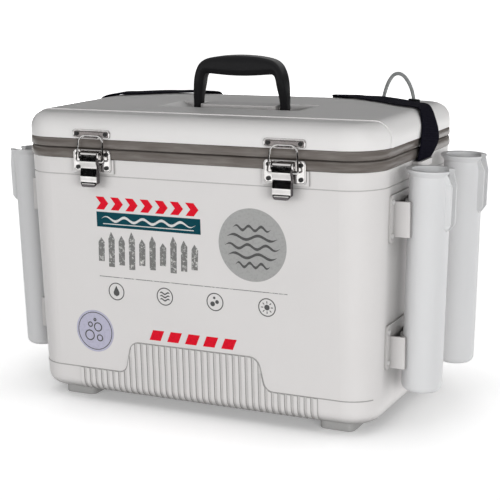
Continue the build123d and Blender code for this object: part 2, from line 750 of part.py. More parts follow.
def shoulder_strap():
    """From each lug up the lid's side, across its rear corner, and hanging slack behind the tank."""
    out = side + saddle_rise + strap_gap
    over = lid_skin_top + strap_gap
    rear = back + strap_gap + 1
    low = lug_top - lug_height - 2
    bottom = seam_height - strap_fall
    lid_edge = back - lid_round + 5
    half = strap_width / 2
    bend = 0.5 * lid_round + 1
    right = [
        ((out, lug_y - half, low), (out, lug_y + half, low)),
        ((out, lug_y - half, lug_top + 1), (out, lug_y + half, lug_top + 1)),
        ((out, lug_y - 14, lug_top + 12), (out, lug_y + 32, lug_top + 10)),
        ((out, 0, lid_low + 6), (out, 46, lid_low + 6)),
        ((out, 10, lid_top - bend), (out, 59, lid_top - bend)),
        ((out - bend, 20, over), (out - bend, 68, over)),
        ((side - 46, back - 98, over), (side - 24, back - 67, over)),
        ((side - 80, back - 77, over), (side - 58, back - 46, over)),
        ((side - 117, back - 49, over), (side - 97, back - 17, over)),
        ((88, back - 29, over), (118, lid_edge, over)),
        ((66, lid_edge, over), (104, lid_edge, over)),
        ((60, rear, lid_top - bend), (98, rear, lid_top - bend)),
        ((51, rear + 1, lid_low), (89, rear + 1, lid_low - 3)),
        ((40, rear + 4, seam_height - 0.18 * strap_fall), (77, rear + 4, seam_height - 0.22 * strap_fall)),
        ((25, rear + 6, seam_height - 0.5 * strap_fall), (60, rear + 6, seam_height - 0.58 * strap_fall)),
        ((2, rear + 8, seam_height - 0.72 * strap_fall), (28, rear + 8, seam_height - 0.87 * strap_fall)),
        ((strap_slack_x, rear + 8, bottom + strap_width), (strap_slack_x, rear + 8, bottom)),
    ]
    left = [
        ((-out, lug_y + half, low), (-out, lug_y - half, low)),
        ((-out, lug_y + half, lug_top + 1), (-out, lug_y - half, lug_top + 1)),
        ((-out, lug_y + 34, lug_top + 12), (-out, lug_y - 8, lug_top + 14)),
        ((-out, 60, lid_low + 6), (-out, 16, lid_low + 6)),
        ((-out, 78, lid_top - bend), (-out, 34, lid_top - bend)),
        ((bend - out, 86, over), (bend - out, 46, over)),
        ((28 - side, back - 43, over), (49 - side, back - 72, over)),
        ((53 - side, back - 21, over), (75 - side, back - 49, over)),
        ((-160, lid_edge, over), (-134, back - 36, over)),
        ((-142, lid_edge, over), (-104, lid_edge, over)),
        ((-138, rear, lid_top - bend), (-100, rear, lid_top - bend)),
        ((-129, rear + 1, lid_low - 3), (-91, rear + 1, lid_low)),
        ((-118, rear + 4, seam_height - 0.22 * strap_fall), (-81, rear + 4, seam_height - 0.18 * strap_fall)),
        ((-101, rear + 6, seam_height - 0.58 * strap_fall), (-66, rear + 6, seam_height - 0.5 * strap_fall)),
        ((-69, rear + 8, seam_height - 0.87 * strap_fall), (-43, rear + 8, seam_height - 0.72 * strap_fall)),
        ((strap_slack_x, rear + 8, bottom), (strap_slack_x, rear + 8, bottom + strap_width)),
    ]
    return webbing(right) + webbing(left)


# ---------------------------------------------------------------- air pump
def pump_plane(y):
    """A plane facing backwards, centred on the pump's casing."""
    return Plane(origin=(pump_x, y, pump_top - pump_height / 2), x_dir=(-1, 0, 0), z_dir=(0, 1, 0))


def pump_bracket():
    """The plate on the tank's back that the pump hangs on."""
    plate = block((pump_x - hanger_half, pump_x + hanger_half), (back - 3 * collar_step, pump_back),
                  (pump_top - hanger_drop - hanger_height, pump_top - hanger_drop))
    plate = fillet(plate.edges().filter_by(Axis.Y), case_round)
    return plate - drafted(0, body_low, collar_low)


def case_back():
    outer = extrude(pump_plane(pump_back) * RectangleRounded(pump_width, pump_height, case_round), case_split)
    outer = fillet(outer.faces().sort_by(Axis.Y)[0].edges(), 2)
    room = RectangleRounded(pump_width - 2 * case_wall, pump_height - 2 * case_wall, case_round - case_wall)
    return outer - extrude(pump_plane(pump_back + case_wall) * room, case_split)


def case_front():
    depth = pump_depth - case_split
    start = pump_back + case_split
    outer = extrude(pump_plane(start) * RectangleRounded(pump_width, pump_height, case_round), depth)
    outer = fillet(outer.faces().sort_by(Axis.Y)[-1].edges(), 2)
    room = RectangleRounded(pump_width - 2 * case_wall, pump_height - 2 * case_wall, case_round - case_wall)
    shell = outer - extrude(pump_plane(start) * room, depth - case_wall)
    hatch = Pos(0, door_z) * Rectangle(door_width - 2 * case_wall, door_height - 2 * case_wall)
    shell -= extrude(pump_plane(pump_face - 2 * case_wall) * hatch, 3 * case_wall)
    room_around = switch_stem + 2 * switch_gap
    slot = Pos(0, switch_z) * Rectangle(room_around + switch_travel, room_around)
    shell -= extrude(pump_plane(pump_face - 2 * case_wall) * slot, 3 * case_wall)
    return shell - rod(nozzle_radius + nozzle_gap, (nozzle_x, nozzle_y, pump_top - 9),
                       (nozzle_x, nozzle_y, pump_top + 1))


def battery_door():
    lid = RectangleRounded(door_width, door_height, 4)
    plug = Rectangle(door_width - 2 * case_wall - 0.4, door_height - 2 * case_wall - 0.4)
    door = extrude(pump_plane(pump_face) * (Pos(0, door_z) * lid), door_thick)
    door = fillet(door.faces().sort_by(Axis.Y)[-1].edges(), 1)
    return door + extrude(pump_plane(pump_face - case_wall) * (Pos(0, door_z) * plug), case_wall)


def battery_cells():
    low = pump_low + case_wall
    y = pump_back + pump_depth / 2
    cells = []
    for step in (-1, 1):
        x = pump_x + step * (cell_radius + 0.4)
        shoulder = low + cell_length - cell_button
        cell = rod(cell_radius, (x, y, low), (x, y, shoulder))
        cells.append(cell + rod(cell_button_radius, (x, y, shoulder), (x, y, low + cell_length)))
    return cells


def pump_shelf():
    low = pump_low + case_wall + cell_length + 2
    half = pump_width / 2 - case_wall
    return block((pump_x - half, pump_x + half), (pump_back + case_wall, pump_face - case_wall),
                 (low, low + case_wall))


def pump_motor():
    height = shelf_top + motor_radius
    y = pump_back + pump_depth / 2
    start = nozzle_x + diaphragm_half + 3
    can = rod(motor_radius, (start, y, height), (start + motor_length, y, height))
    return can + rod(1.2, (start - 3, y, height), (start, y, height))


def diaphragm_unit():
    y = pump_back + pump_depth / 2
    half = diaphragm_half
    return block((nozzle_x - half, nozzle_x + half), (y - diaphragm_front, y + diaphragm_back),
                 (shelf_top, shelf_top + diaphragm_height))


def outlet_nozzle():
    """The barbed spigot that the air line is pushed over."""
    low, tip = shelf_top + diaphragm_height, pump_top + nozzle_length
    nozzle = rod(nozzle_radius, (nozzle_x, nozzle_y, low), (nozzle_x, nozzle_y, tip))
    for height in (tip - 9, tip - 5):
        cone = loft([Plane((nozzle_x, nozzle_y, height)) * Circle(nozzle_radius + 0.5),
                     Plane((nozzle_x, nozzle_y, height + 3)) * Circle(nozzle_radius)])
        nozzle += cone
    return nozzle


def pump_switch():
    """The slide switch at its off end: a ribbed thumb piece on a stem."""
    x = switch_travel / 2
    thumb = Pos(x, switch_z) * RectangleRounded(switch_width, switch_height + 4, 1.5)
    stem = Pos(x, switch_z) * Rectangle(switch_stem, switch_stem)
    knob = extrude(pump_plane(pump_face + 0.3) * thumb, 2.4)
    return knob + extrude(pump_plane(pump_face - case_wall - 2) * stem, case_wall + 2.3)


# ---------------------------------------------------------------- air line
def through_wall(radius, start, end):
    """A cylinder on the wall fitting's axis between two values of y."""
    return rod(radius, (fitting_x, start, fitting_height), (fitting_x, end, fitting_height))


def fitting_hole():
    """The passage of the wall fitting through both skins and the foam."""
    return through_wall(fitting_radius + fitting_clearance, back / 2, back + 5)


def wall_fitting():
    outer_face = back + 0.2
    inner_end = liner_face - 4.5
    barb = through_wall(nozzle_radius, outer_face, fitting_tip)
    stem = through_wall(fitting_radius, inner_end, outer_face)
    flange = through_wall(fitting_flange, back - 6, outer_face)
    inside = through_wall(nozzle_radius, down_tube_start, inner_end)
    return barb + stem + (flange - drafted(0, body_low, collar_low)) + inside


def fitting_nut():
    hexagon = Plane(origin=(fitting_x, liner_face - 4, fitting_height), x_dir=(1, 0, 0), z_dir=(0, 1, 0))
    nut = extrude(hexagon * RegularPolygon(fitting_flange, 6), 8)
    nut &= drafted(tank_wall, tank_floor, collar_low)
    return nut - through_wall(fitting_radius, liner_face - 9, liner_face + 9)


def air_hose():
    """The flexible line from the pump over its loop to the wall fitting."""
    tip = pump_top + nozzle_length
    points = [(nozzle_x + x, nozzle_y + y, tip + z) for x, y, z in hose_route]
    points += [
        (fitting_x, fitting_tip + 14, fitting_height),
        (fitting_x, fitting_tip, fitting_height),
    ]
    return cord(points, hose_radius)


def cord(points, radius):
    """A tube of straight runs and tangent arcs, each arc as large as its two runs allow."""
    corners = [Vector(*point) for point in points]
    bends = []
    for before, at, after in zip(corners, corners[1:], corners[2:]):
        turn = (at - before).get_angle(after - at)
        shorter = min((at - before).length, (after - at).length)
        bends.append(0.45 * shorter / tan(radians(turn) / 2))
    path = FilletPolyline(*corners, radius=bends)
    tube = sweep(Plane(origin=path @ 0, z_dir=path % 0) * Circle(radius), path=path)
    print("cord length", round(path.length, 1), "radii", [round(bend) for bend in bends])
    return tube


def air_down_tube():
    """The rigid pipe from the fitting down the tank's back wall to the airstone."""
    stone_end = airstone_x + airstone_length
    corners = [(fitting_x, down_tube_start, fitting_height), (fitting_x, down_tube_y, fitting_height),
               (fitting_x, down_tube_y, stone_height), (stone_end, down_tube_y, stone_height)]
    path = FilletPolyline(*corners, radius=[down_tube_bend / 2, down_tube_bend])
    return sweep(Plane(origin=path @ 0, z_dir=path % 0) * Circle(down_tube_radius), path=path)


def tube_clips():
    clips = []
    for height in (tank_floor + clip_height, tank_floor + clip_height + clip_step):
        clip = block((fitting_x - 7, fitting_x + 7), (down_tube_y - 4.5, back), (height - 4, height + 4))
        clip &= drafted(tank_wall, tank_floor, collar_low)
        clips.append(clip - rod(down_tube_radius, (fitting_x, down_tube_y, height - 9),
                                (fitting_x, down_tube_y, height + 9)))
    return clips


def airstone():
    return rod(airstone_radius, (airstone_x, down_tube_y, stone_height),
               (airstone_x + airstone_length, down_tube_y, stone_height))


door_z = -(pump_height - door_height) / 2 + 6
switch_z = pump_height / 2 - 22
nozzle_y = pump_face - 9
shelf_top = pump_low + case_wall + cell_length + 4
liner_face = body_depth / 2 - tank_wall - (collar_low - fitting_height) * tan(radians(draft_angle))
fitting_tip = back + fitting_barb
down_tube_start = liner_face - 10.5
stone_height = tank_floor + airstone_radius
down_tube_y = (body_depth / 2 - tank_wall - (collar_low - stone_height) * tan(radians(draft_angle))
               - airstone_radius - airstone_gap)


def model():
    """Every sub-part by name: one solid, or a list of like solids."""
    tubes = {"front": tube_front_y, "rear": tube_rear_y}
    brackets = {"upper": (upper_bracket, upper_bracket_box), "lower": (lower_bracket, lower_bracket_box)}
    parts = {
        "outer_shell": outer_shell(),
        "inner_liner": inner_liner(),
        "foam_core": foam_core(),
        "body_collar": collar_ring(collar_low, collar_high),
        "feet": feet(),
        "lid_shell": lid_shell(),
        "lid_liner": lid_liner(),
        "lid_foam": lid_foam(),
        "lid_collar": lid_collar(),
        "lid_gasket": lid_gasket(),
        "hinge_body_leaves": hinge_leaf_piece(False),
        "hinge_lid_leaves": hinge_leaf_piece(True),
        "hinge_pins": hinge_pins(),
        "hinge_body_screws": hinge_screws(False),
        "hinge_lid_screws": hinge_screws(True),
        "handle_frame": handle_frame(),
        "handle_block": handle_block(),
        "handle_pins": handle_pins(),
        "latch_base_plates": [at_latch(latch_base(), turn) for turn in (-1, 1)],
        "latch_lever_pins": [at_latch(latch_pin(), turn) for turn in (-1, 1)],
        "latch_base_screws": plate_screws((base_plate_low + base_screw_inset,
                                           base_plate_high - base_screw_inset)),
        "latch_strikes": [at_latch(latch_strike(), turn) for turn in (-1, 1)],
        "latch_strike_screws": plate_screws(((strike_low + strike_high) / 2,)),
        "strap_lugs": both_sides(strap_lug()),
        "shoulder_strap": shoulder_strap(),
        "pump_bracket": pump_bracket(),
        "pump_case_back": case_back(),
        "pump_case_front": case_front(),
        "pump_battery_door": battery_door(),
        "pump_battery_cells": battery_cells(),
        "pump_shelf": pump_shelf(),
        "pump_motor": pump_motor(),
        "pump_diaphragm_unit": diaphragm_unit(),
        "pump_outlet_nozzle": outlet_nozzle(),
        "pump_switch": pump_switch(),
        "wall_fitting": wall_fitting(),
        "fitting_nut": fitting_nut(),
        "air_hose": air_hose(),
        "air_down_tube": air_down_tube(),
        "tube_clips": tube_clips(),
        "airstone": airstone(),
    }
    for name, turn in (("left", -1), ("right", 1)):
        parts["latch_lever_" + name] = at_latch(latch_lever(), turn)
        parts["latch_bail_" + name] = at_latch(latch_bail(), turn)
    for name, y in tubes.items():
        right, left = both_sides(rod_holder(y))
        parts["rod_holder_" + name + "_right"] = right
        parts["rod_holder_" + name + "_left"] = left
    for name, (plate, box) in brackets.items():
        parts[name + "_rod_brackets"] = [solid for y in tubes.values()
                                         for solid in both_sides(rod_bracket(y, plate, box))]
        parts[name + "_bracket_screws"] = [solid for y in tubes.values() for head in bracket_screws(y, plate)
                                           for solid in both_sides(head)]
    return parts


def as_shape(piece):
    return Compound(list(piece)) if isinstance(piece, list) else piece


loose = ("air_hose", "shoulder_strap")
parts = {name: as_shape(piece) for name, piece in model().items()}
whole = Compound([piece for name, piece in parts.items() if name not in loose])
middle_y = whole.bounding_box().center().Y

if __name__ == "__main__":
    os.makedirs("parts", exist_ok=True)
    print("middle_y", round(middle_y, 3))
    for name, piece in parts.items():
        export_step(Pos(0, -middle_y, 0) * piece, "parts/" + name + ".step")
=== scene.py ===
"""Looks of the aerated bait bucket: camera, light, materials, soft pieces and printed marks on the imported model."""
import json
import math

import bmesh
import bpy
from mathutils import Matrix, Vector


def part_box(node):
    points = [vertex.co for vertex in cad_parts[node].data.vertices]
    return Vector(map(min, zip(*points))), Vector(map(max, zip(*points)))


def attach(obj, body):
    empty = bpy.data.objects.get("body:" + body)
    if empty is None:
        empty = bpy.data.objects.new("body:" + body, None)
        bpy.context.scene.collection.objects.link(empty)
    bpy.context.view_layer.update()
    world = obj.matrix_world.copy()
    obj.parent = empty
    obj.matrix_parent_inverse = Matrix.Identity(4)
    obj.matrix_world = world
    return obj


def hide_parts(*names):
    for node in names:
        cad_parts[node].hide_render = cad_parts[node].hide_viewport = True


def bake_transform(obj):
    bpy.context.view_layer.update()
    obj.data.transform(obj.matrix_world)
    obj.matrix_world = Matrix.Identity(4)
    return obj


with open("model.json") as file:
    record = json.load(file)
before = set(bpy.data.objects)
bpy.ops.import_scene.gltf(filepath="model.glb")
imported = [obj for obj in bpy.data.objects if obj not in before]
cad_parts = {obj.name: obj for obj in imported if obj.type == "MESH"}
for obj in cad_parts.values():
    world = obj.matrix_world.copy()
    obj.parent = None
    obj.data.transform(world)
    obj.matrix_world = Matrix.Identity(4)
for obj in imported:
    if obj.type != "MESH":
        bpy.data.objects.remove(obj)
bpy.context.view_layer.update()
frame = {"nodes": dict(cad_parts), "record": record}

scene = bpy.context.scene
scene.view_settings.view_transform = "Standard"
nodes = frame["nodes"]
low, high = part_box("body_collar")
MID = (low.y + high.y) / 2          # the tank's middle, front to back
MM = 0.001


def at(x, y, z):
    """A point given in millimetres about the tank's middle."""
    return Vector((x * MM, y * MM + MID, z * MM))


# ------------------------------------------------------------------ camera
camera = bpy.data.objects.new("camera", bpy.data.cameras.new("camera"))
scene.collection.objects.link(camera)
camera.data.lens = 95.29
camera.data.sensor_width = 36.0
camera.location = at(733.83, -1495.89, 534.2)
yaw, pitch, roll = 0.4513, 0.2106, -0.0147
forward = Vector((-math.sin(yaw) * math.cos(pitch), math.cos(yaw) * math.cos(pitch), -math.sin(pitch)))
right = Vector((math.cos(yaw), math.sin(yaw), 0))
up = right.cross(forward)
right_rolled = right * math.cos(roll) + up * math.sin(roll)
up_rolled = up * math.cos(roll) - right * math.sin(roll)
camera.rotation_euler = Matrix((right_rolled, up_rolled, -forward)).transposed().to_euler()
scene.camera = camera


# ------------------------------------------------------------------ mesh helpers
def piece(name, verts, faces, material, smooth=True, sharp=None):
    """A mesh object from points in the row frame, in metres."""
    mesh = bpy.data.meshes.new(name)
    mesh.from_pydata([tuple(v) for v in verts], [], faces)
    obj = bpy.data.objects.new(name, mesh)
    scene.collection.objects.link(obj)
    tool = bmesh.new()
    tool.from_mesh(mesh)
    bmesh.ops.recalc_face_normals(tool, faces=tool.faces)
    tool.to_mesh(mesh)
    tool.free()
    mesh.materials.append(material)
    if smooth:
        mesh.shade_smooth()
        if sharp:
            mesh.set_sharp_from_angle(angle=math.radians(sharp))
    return obj


def object_from(tool, name, material):
    """A mesh object from what a bmesh tool holds, which is freed."""
    bmesh.ops.recalc_face_normals(tool, faces=tool.faces)
    bmesh.ops.triangulate(tool, faces=[face for face in tool.faces if len(face.verts) > 4])
    mesh = bpy.data.meshes.new(name)
    tool.to_mesh(mesh)
    tool.free()
    mesh.materials.append(material)
    obj = bpy.data.objects.new(name, mesh)
    scene.collection.objects.link(obj)
    return obj


def loft(rings, closed_path=False):
    """Points and faces through rings of equal length, with end faces unless the path is closed."""
    n = len(rings[0])
    verts = [v for ring in rings for v in ring]
    faces = []
    spans = len(rings) if closed_path else len(rings) - 1
    for i in range(spans):
        a, b = i * n, (i + 1) % len(rings) * n
        faces += [(a + j, a + (j + 1) % n, b + (j + 1) % n, b + j) for j in range(n)]
    if not closed_path:
        faces.append(tuple(range(n))[::-1])
        faces.append(tuple(range((len(rings) - 1) * n, len(rings) * n)))
    return verts, faces


def rounded_rectangle(width, depth, corner, steps=10):
    """Points round a rectangle with rounded corners, in millimetres."""
    points = []
    for cx, cy, start in ((1, 1, 0), (-1, 1, 90), (-1, -1, 180), (1, -1, 270)):
        for i in range(steps + 1):
            turn = math.radians(start + 90 * i / steps)
            points.append((cx * (width / 2 - corner) + corner * math.cos(turn),
                           cy * (depth / 2 - corner) + corner * math.sin(turn)))
    return points


def catmull(points, per_span):
    """A smooth line through points, per_span steps between each two."""
    line = []
    for i in range(len(points) - 1):
        p0, p1, p2, p3 = (points[max(0, min(len(points) - 1, k))] for k in (i - 1, i, i + 1, i + 2))
        for step in range(per_span):
            t = step / per_span
            line.append(0.5 * (2 * p1 + (p2 - p0) * t + (2 * p0 - 5 * p1 + 4 * p2 - p3) * t * t
                               + (3 * p1 - p0 - 3 * p2 + p3) * t * t * t))
    line.append(points[-1].copy())
    return line


# ------------------------------------------------------------------ materials
def shader(name):
    """A new material, its node tree and its Principled shader."""
    material = bpy.data.materials.new(name)
    material.use_nodes = True
    return material, material.node_tree, material.node_tree.nodes["Principled BSDF"]


def add(tree, kind, inputs=None, **settings):
    """A node with its settings and input values; a socket as a value is linked."""
    node = tree.nodes.new(kind)
    for key, value in settings.items():
        setattr(node, key, value)
    for key, value in (inputs or {}).items():
        if isinstance(value, bpy.types.NodeSocket):
            tree.links.new(value, node.inputs[key])
        else:
            node.inputs[key].default_value = value
    return node


def ramp(tree, factor, stops):
    """The colour of a ramp with the given stops, each a place and a colour."""
    node = add(tree, "ShaderNodeValToRGB", {"Fac": factor})
    elements = node.color_ramp.elements
    while len(elements) < len(stops):
        elements.new(0.5)
    for element, (place, colour) in zip(elements, stops):
        element.position = place
        element.color = colour if len(colour) == 4 else (*colour, 1)
    return node.outputs["Color"]


def plastic(name, colour, rough=0.3, grain=0.0004, bump=0.15, tint=0.03, scale=260.0, specular=0.5, corner_shade=0.0):
    """Moulded plastic: a slight change of colour and gloss, a fine moulded texture, and painted shade in its corners
    and gaps.
    """
    material, tree, face = shader(name)
    where = add(tree, "ShaderNodeTexCoord").outputs["Object"]
    broad = add(tree, "ShaderNodeTexNoise", {"Vector": where, "Scale": 9.0, "Detail": 3.0}).outputs["Fac"]
    darker = tuple(c * (1 - tint) for c in colour)
    lighter = tuple(min(1, c * (1 + tint * 0.5)) for c in colour)
    base = ramp(tree, broad, ((0.3, darker), (0.7, lighter)))
    if corner_shade:
        # Ambient occlusion darkens the colour in corners, creases and gaps between parts: painted shade.
        occlusion = add(tree, "ShaderNodeAmbientOcclusion", {"Distance": 0.03}, samples=8).outputs["AO"]
        shade_mask = ramp(tree, occlusion, ((0.3, (corner_shade,) * 3), (0.92, (0.0,) * 3)))
        # In a colour mix, inputs 6 and 7 and output 2 are the colour sockets.
        mix = add(tree, "ShaderNodeMix", {"Factor": shade_mask}, data_type="RGBA")
        tree.links.new(base, mix.inputs[6])
        mix.inputs[7].default_value = (0.16, 0.155, 0.15, 1)
        base = mix.outputs[2]
    tree.links.new(base, face.inputs["Base Color"])
    fine = add(tree, "ShaderNodeTexNoise", {"Vector": where, "Scale": scale, "Detail": 4.0}).outputs["Fac"]
    roughness = add(tree, "ShaderNodeMapRange", {"Value": broad, "From Min": 0.3, "From Max": 0.7,
                                                "To Min": rough * 0.88, "To Max": rough * 1.12}).outputs["Result"]
    tree.links.new(roughness, face.inputs["Roughness"])
    lift = add(tree, "ShaderNodeBump", {"Height": fine, "Strength": bump, "Distance": grain}).outputs["Normal"]
    tree.links.new(lift, face.inputs["Normal"])
    face.inputs["Specular IOR Level"].default_value = specular
    return material


def steel(name, colour=(0.62, 0.61, 0.60), rough=0.16, scratch=0.25):
    """Polished stainless steel with fine drawn lines and faint smudges."""
    material, tree, face = shader(name)
    where = add(tree, "ShaderNodeTexCoord").outputs["Object"]
    drawn = add(tree, "ShaderNodeMapping", {"Vector": where, "Scale": (1.0, 1.0, 14.0)}).outputs["Vector"]
    lines = add(tree, "ShaderNodeTexNoise", {"Vector": drawn, "Scale": 420.0, "Detail": 5.0}).outputs["Fac"]
    smudge = add(tree, "ShaderNodeTexNoise", {"Vector": where, "Scale": 60.0, "Detail": 3.0}).outputs["Fac"]
    base = ramp(tree, smudge, ((0.3, tuple(c * 0.82 for c in colour)), (0.7, colour)))
    tree.links.new(base, face.inputs["Base Color"])
    roughness = add(tree, "ShaderNodeMapRange", {"Value": lines, "From Min": 0.3, "From Max": 0.7,
                                                "To Min": rough * 0.7, "To Max": rough * 1.5}).outputs["Result"]
    tree.links.new(roughness, face.inputs["Roughness"])
    lift = add(tree, "ShaderNodeBump", {"Height": lines, "Strength": scratch, "Distance": 0.00003}).outputs["Normal"]
    tree.links.new(lift, face.inputs["Normal"])
    face.inputs["Metallic"].default_value = 1.0
    return material


def printed(name, colour, wear=0.0):
    """Ink printed on the plastic; wear opens speckled gaps in it."""
    material, tree, face = shader(name)
    where = add(tree, "ShaderNodeTexCoord").outputs["Object"]
    speck = add(tree, "ShaderNodeTexNoise", {"Vector": where, "Scale": 330.0, "Detail": 6.0,
                                             "Roughness": 0.72}).outputs["Fac"]
    shade = tuple(c * 0.9 for c in colour)
    stops = ((0.42, shade), (0.5, colour))
    if wear:
        bare_plastic = (0.70, 0.69, 0.67)
        stops = ((0.4, shade), (0.6 - wear, colour), (0.64 - wear * 0.5, bare_plastic))
    tree.links.new(ramp(tree, speck, stops), face.inputs["Base Color"])
    lift = add(tree, "ShaderNodeBump", {"Height": speck, "Strength": 0.1, "Distance": 0.0001}).outputs["Normal"]
    tree.links.new(lift, face.inputs["Normal"])
    face.inputs["Roughness"].default_value = 0.45
    face.inputs["Specular IOR Level"].default_value = 0.12
    return material


def webbing(name):
    """Woven nylon: rows of slanting yarns across the strap's width, from its own length and width."""
    material, tree, face = shader(name)
    flat = add(tree, "ShaderNodeTexCoord").outputs["UV"]
    part = add(tree, "ShaderNodeSeparateXYZ", {"Vector": flat})
    u, v = part.outputs["X"], part.outputs["Y"]

    def wave(value, per_metre):
        turned = add(tree, "ShaderNodeMath", {0: value, 1: per_metre * 2 * math.pi}, operation="MULTIPLY").outputs[0]
        return add(tree, "ShaderNodeMath", {0: turned}, operation="SINE").outputs[0]

    slant = add(tree, "ShaderNodeMath", {0: v, 1: 0.9}, operation="MULTIPLY").outputs[0]
    leaning = add(tree, "ShaderNodeMath", {0: u, 1: slant}, operation="ADD").outputs[0]
    weft = wave(leaning, 480.0)
    warp = wave(v, 420.0)
    woven = add(tree, "ShaderNodeMath", {0: weft, 1: warp}, operation="MULTIPLY").outputs[0]
    height = add(tree, "ShaderNodeMapRange", {"Value": woven, "From Min": -1.0, "From Max": 1.0}).outputs["Result"]
    yarn = ((0.15, (0.002, 0.002, 0.004)), (0.6, (0.005, 0.0045, 0.009)), (1.0, (0.012, 0.011, 0.02)))
    tree.links.new(ramp(tree, height, yarn), face.inputs["Base Color"])
    lift = add(tree, "ShaderNodeBump", {"Height": height, "Strength": 0.8, "Distance": 0.0005}).outputs["Normal"]
    tree.links.new(lift, face.inputs["Normal"])
    face.inputs["Roughness"].default_value = 0.8
    face.inputs["Specular IOR Level"].default_value = 0.03
    return material


def foam(name, colour):
    """Rigid foam with fine cells."""
    material, tree, face = shader(name)
    where = add(tree, "ShaderNodeTexCoord").outputs["Object"]
    cells = add(tree, "ShaderNodeTexVoronoi", {"Vector": where, "Scale": 700.0}).outputs["Distance"]
    tree.links.new(ramp(tree, cells, ((0.0, tuple(c * 0.7 for c in colour)), (0.5, colour))), face.inputs["Base Color"])
    lift = add(tree, "ShaderNodeBump", {"Height": cells, "Strength": 0.6, "Distance": 0.0006}).outputs["Normal"]
    tree.links.new(lift, face.inputs["Normal"])
    face.inputs["Roughness"].default_value = 0.9
    return material


def smoked(name):
    """Smoked plastic with moulding streaks along the band."""
    material, tree, face = shader(name)
    where = add(tree, "ShaderNodeTexCoord").outputs["Object"]
    long = add(tree, "ShaderNodeMapping", {"Vector": where, "Scale": (1.0, 1.0, 9.0)}).outputs["Vector"]
    streak = add(tree, "ShaderNodeTexNoise", {"Vector": long, "Scale": 26.0, "Detail": 4.0}).outputs["Fac"]
    tones = ((0.3, (0.125, 0.108, 0.097)), (0.55, (0.170, 0.152, 0.139)), (0.75, (0.225, 0.205, 0.190)))
    tree.links.new(ramp(tree, streak, tones), face.inputs["Base Color"])
    lift = add(tree, "ShaderNodeBump", {"Height": streak, "Strength": 0.12, "Distance": 0.0006}).outputs["Normal"]
    tree.links.new(lift, face.inputs["Normal"])
    face.inputs["Roughness"].default_value = 0.26
    face.inputs["Specular IOR Level"].default_value = 0.32
    return material


def silicone(name):
    """Grey silicone air line."""
    material, tree, face = shader(name)
    where = add(tree, "ShaderNodeTexCoord").outputs["Object"]
    cloud = add(tree, "ShaderNodeTexNoise", {"Vector": where, "Scale": 90.0, "Detail": 2.0}).outputs["Fac"]
    tree.links.new(ramp(tree, cloud, ((0.3, (0.20, 0.21, 0.21)), (0.7, (0.30, 0.31, 0.31)))), face.inputs["Base Color"])
    face.inputs["Roughness"].default_value = 0.3
    return material


def stone(name):
    """Gritty blue stone."""
    material, tree, face = shader(name)
    where = add(tree, "ShaderNodeTexCoord").outputs["Object"]
    grit = add(tree, "ShaderNodeTexVoronoi", {"Vector": where, "Scale": 900.0}).outputs["Distance"]
    tree.links.new(ramp(tree, grit, ((0.1, (0.10, 0.16, 0.27)), (0.6, (0.28, 0.40, 0.58)))), face.inputs["Base Color"])
    lift = add(tree, "ShaderNodeBump", {"Height": grit, "Strength": 1.0, "Distance": 0.0008}).outputs["Normal"]
    tree.links.new(lift, face.inputs["Normal"])
    face.inputs["Roughness"].default_value = 0.95
    return material


def clear(name):
    """Clear rigid pipe."""
    material, tree, face = shader(name)
    where = add(tree, "ShaderNodeTexCoord").outputs["Object"]
    cloud = add(tree, "ShaderNodeTexNoise", {"Vector": where, "Scale": 40.0}).outputs["Fac"]
    tree.links.new(ramp(tree, cloud, ((0.3, (0.72, 0.77, 0.79)), (0.7, (0.82, 0.86, 0.88)))), face.inputs["Base Color"])
    face.inputs["Transmission Weight"].default_value = 0.75
    face.inputs["Roughness"].default_value = 0.12
    return material


# The tank's white plastic gets painted shade in its corners and gaps.
white = plastic("white_plastic", (0.77, 0.752, 0.745), rough=0.4, bump=0.08, tint=0.02, specular=0.25, corner_shade=0.75)
# A lighter copy of the body's white plastic for the lid: painted light.
lid_white_painted_lighter = plastic("lid_plastic_painted_lighter", (0.84, 0.828, 0.82), rough=0.42, bump=0.10, tint=0.02, specular=0.3)
# The feet's plastic also gets painted shade in its corners and gaps.
foot_white = plastic("foot_plastic", (0.66, 0.66, 0.655), rough=0.5, specular=0.2, corner_shade=0.75)
liner_white = plastic("liner_plastic", (0.80, 0.80, 0.79), rough=0.3, tint=0.02)
tube_white = plastic("tube_plastic", (0.74, 0.743, 0.75), rough=0.42, tint=0.02, bump=0.08, specular=0.25)
pump_grey = plastic("pump_plastic", (0.62, 0.64, 0.65), rough=0.5, bump=0.5, scale=900.0)
dark_grey = plastic("pump_accent", (0.05, 0.05, 0.055), rough=0.45, bump=0.4, scale=900.0)
black = plastic("black_plastic", (0.011, 0.011, 0.012), rough=0.36, bump=0.25, grain=0.0002, tint=0.2, scale=700.0,
                specular=0.16)
rubber = plastic("gasket_rubber", (0.02, 0.02, 0.02), rough=0.75, bump=0.3, tint=0.15, specular=0.2)
cell_wrap = plastic("cell_wrap", (0.04, 0.07, 0.12), rough=0.3, tint=0.1)
chrome = steel("stainless", (0.66, 0.645, 0.635), rough=0.1)
# Darker steel for the strikes: a painted dark reflection and painted shade on their faces.
strike_steel_painted_dark = steel("stainless_painted_dark", (0.24, 0.22, 0.215), rough=0.24)
screw_steel = steel("screw_steel", (0.045, 0.045, 0.045), rough=0.3)
# Darker steel for the levers' side walls and lips: painted shade and a painted dark reflection.
lever_steel_painted_shade = steel("stainless_side_painted_shade", (0.15, 0.14, 0.145), rough=0.2)
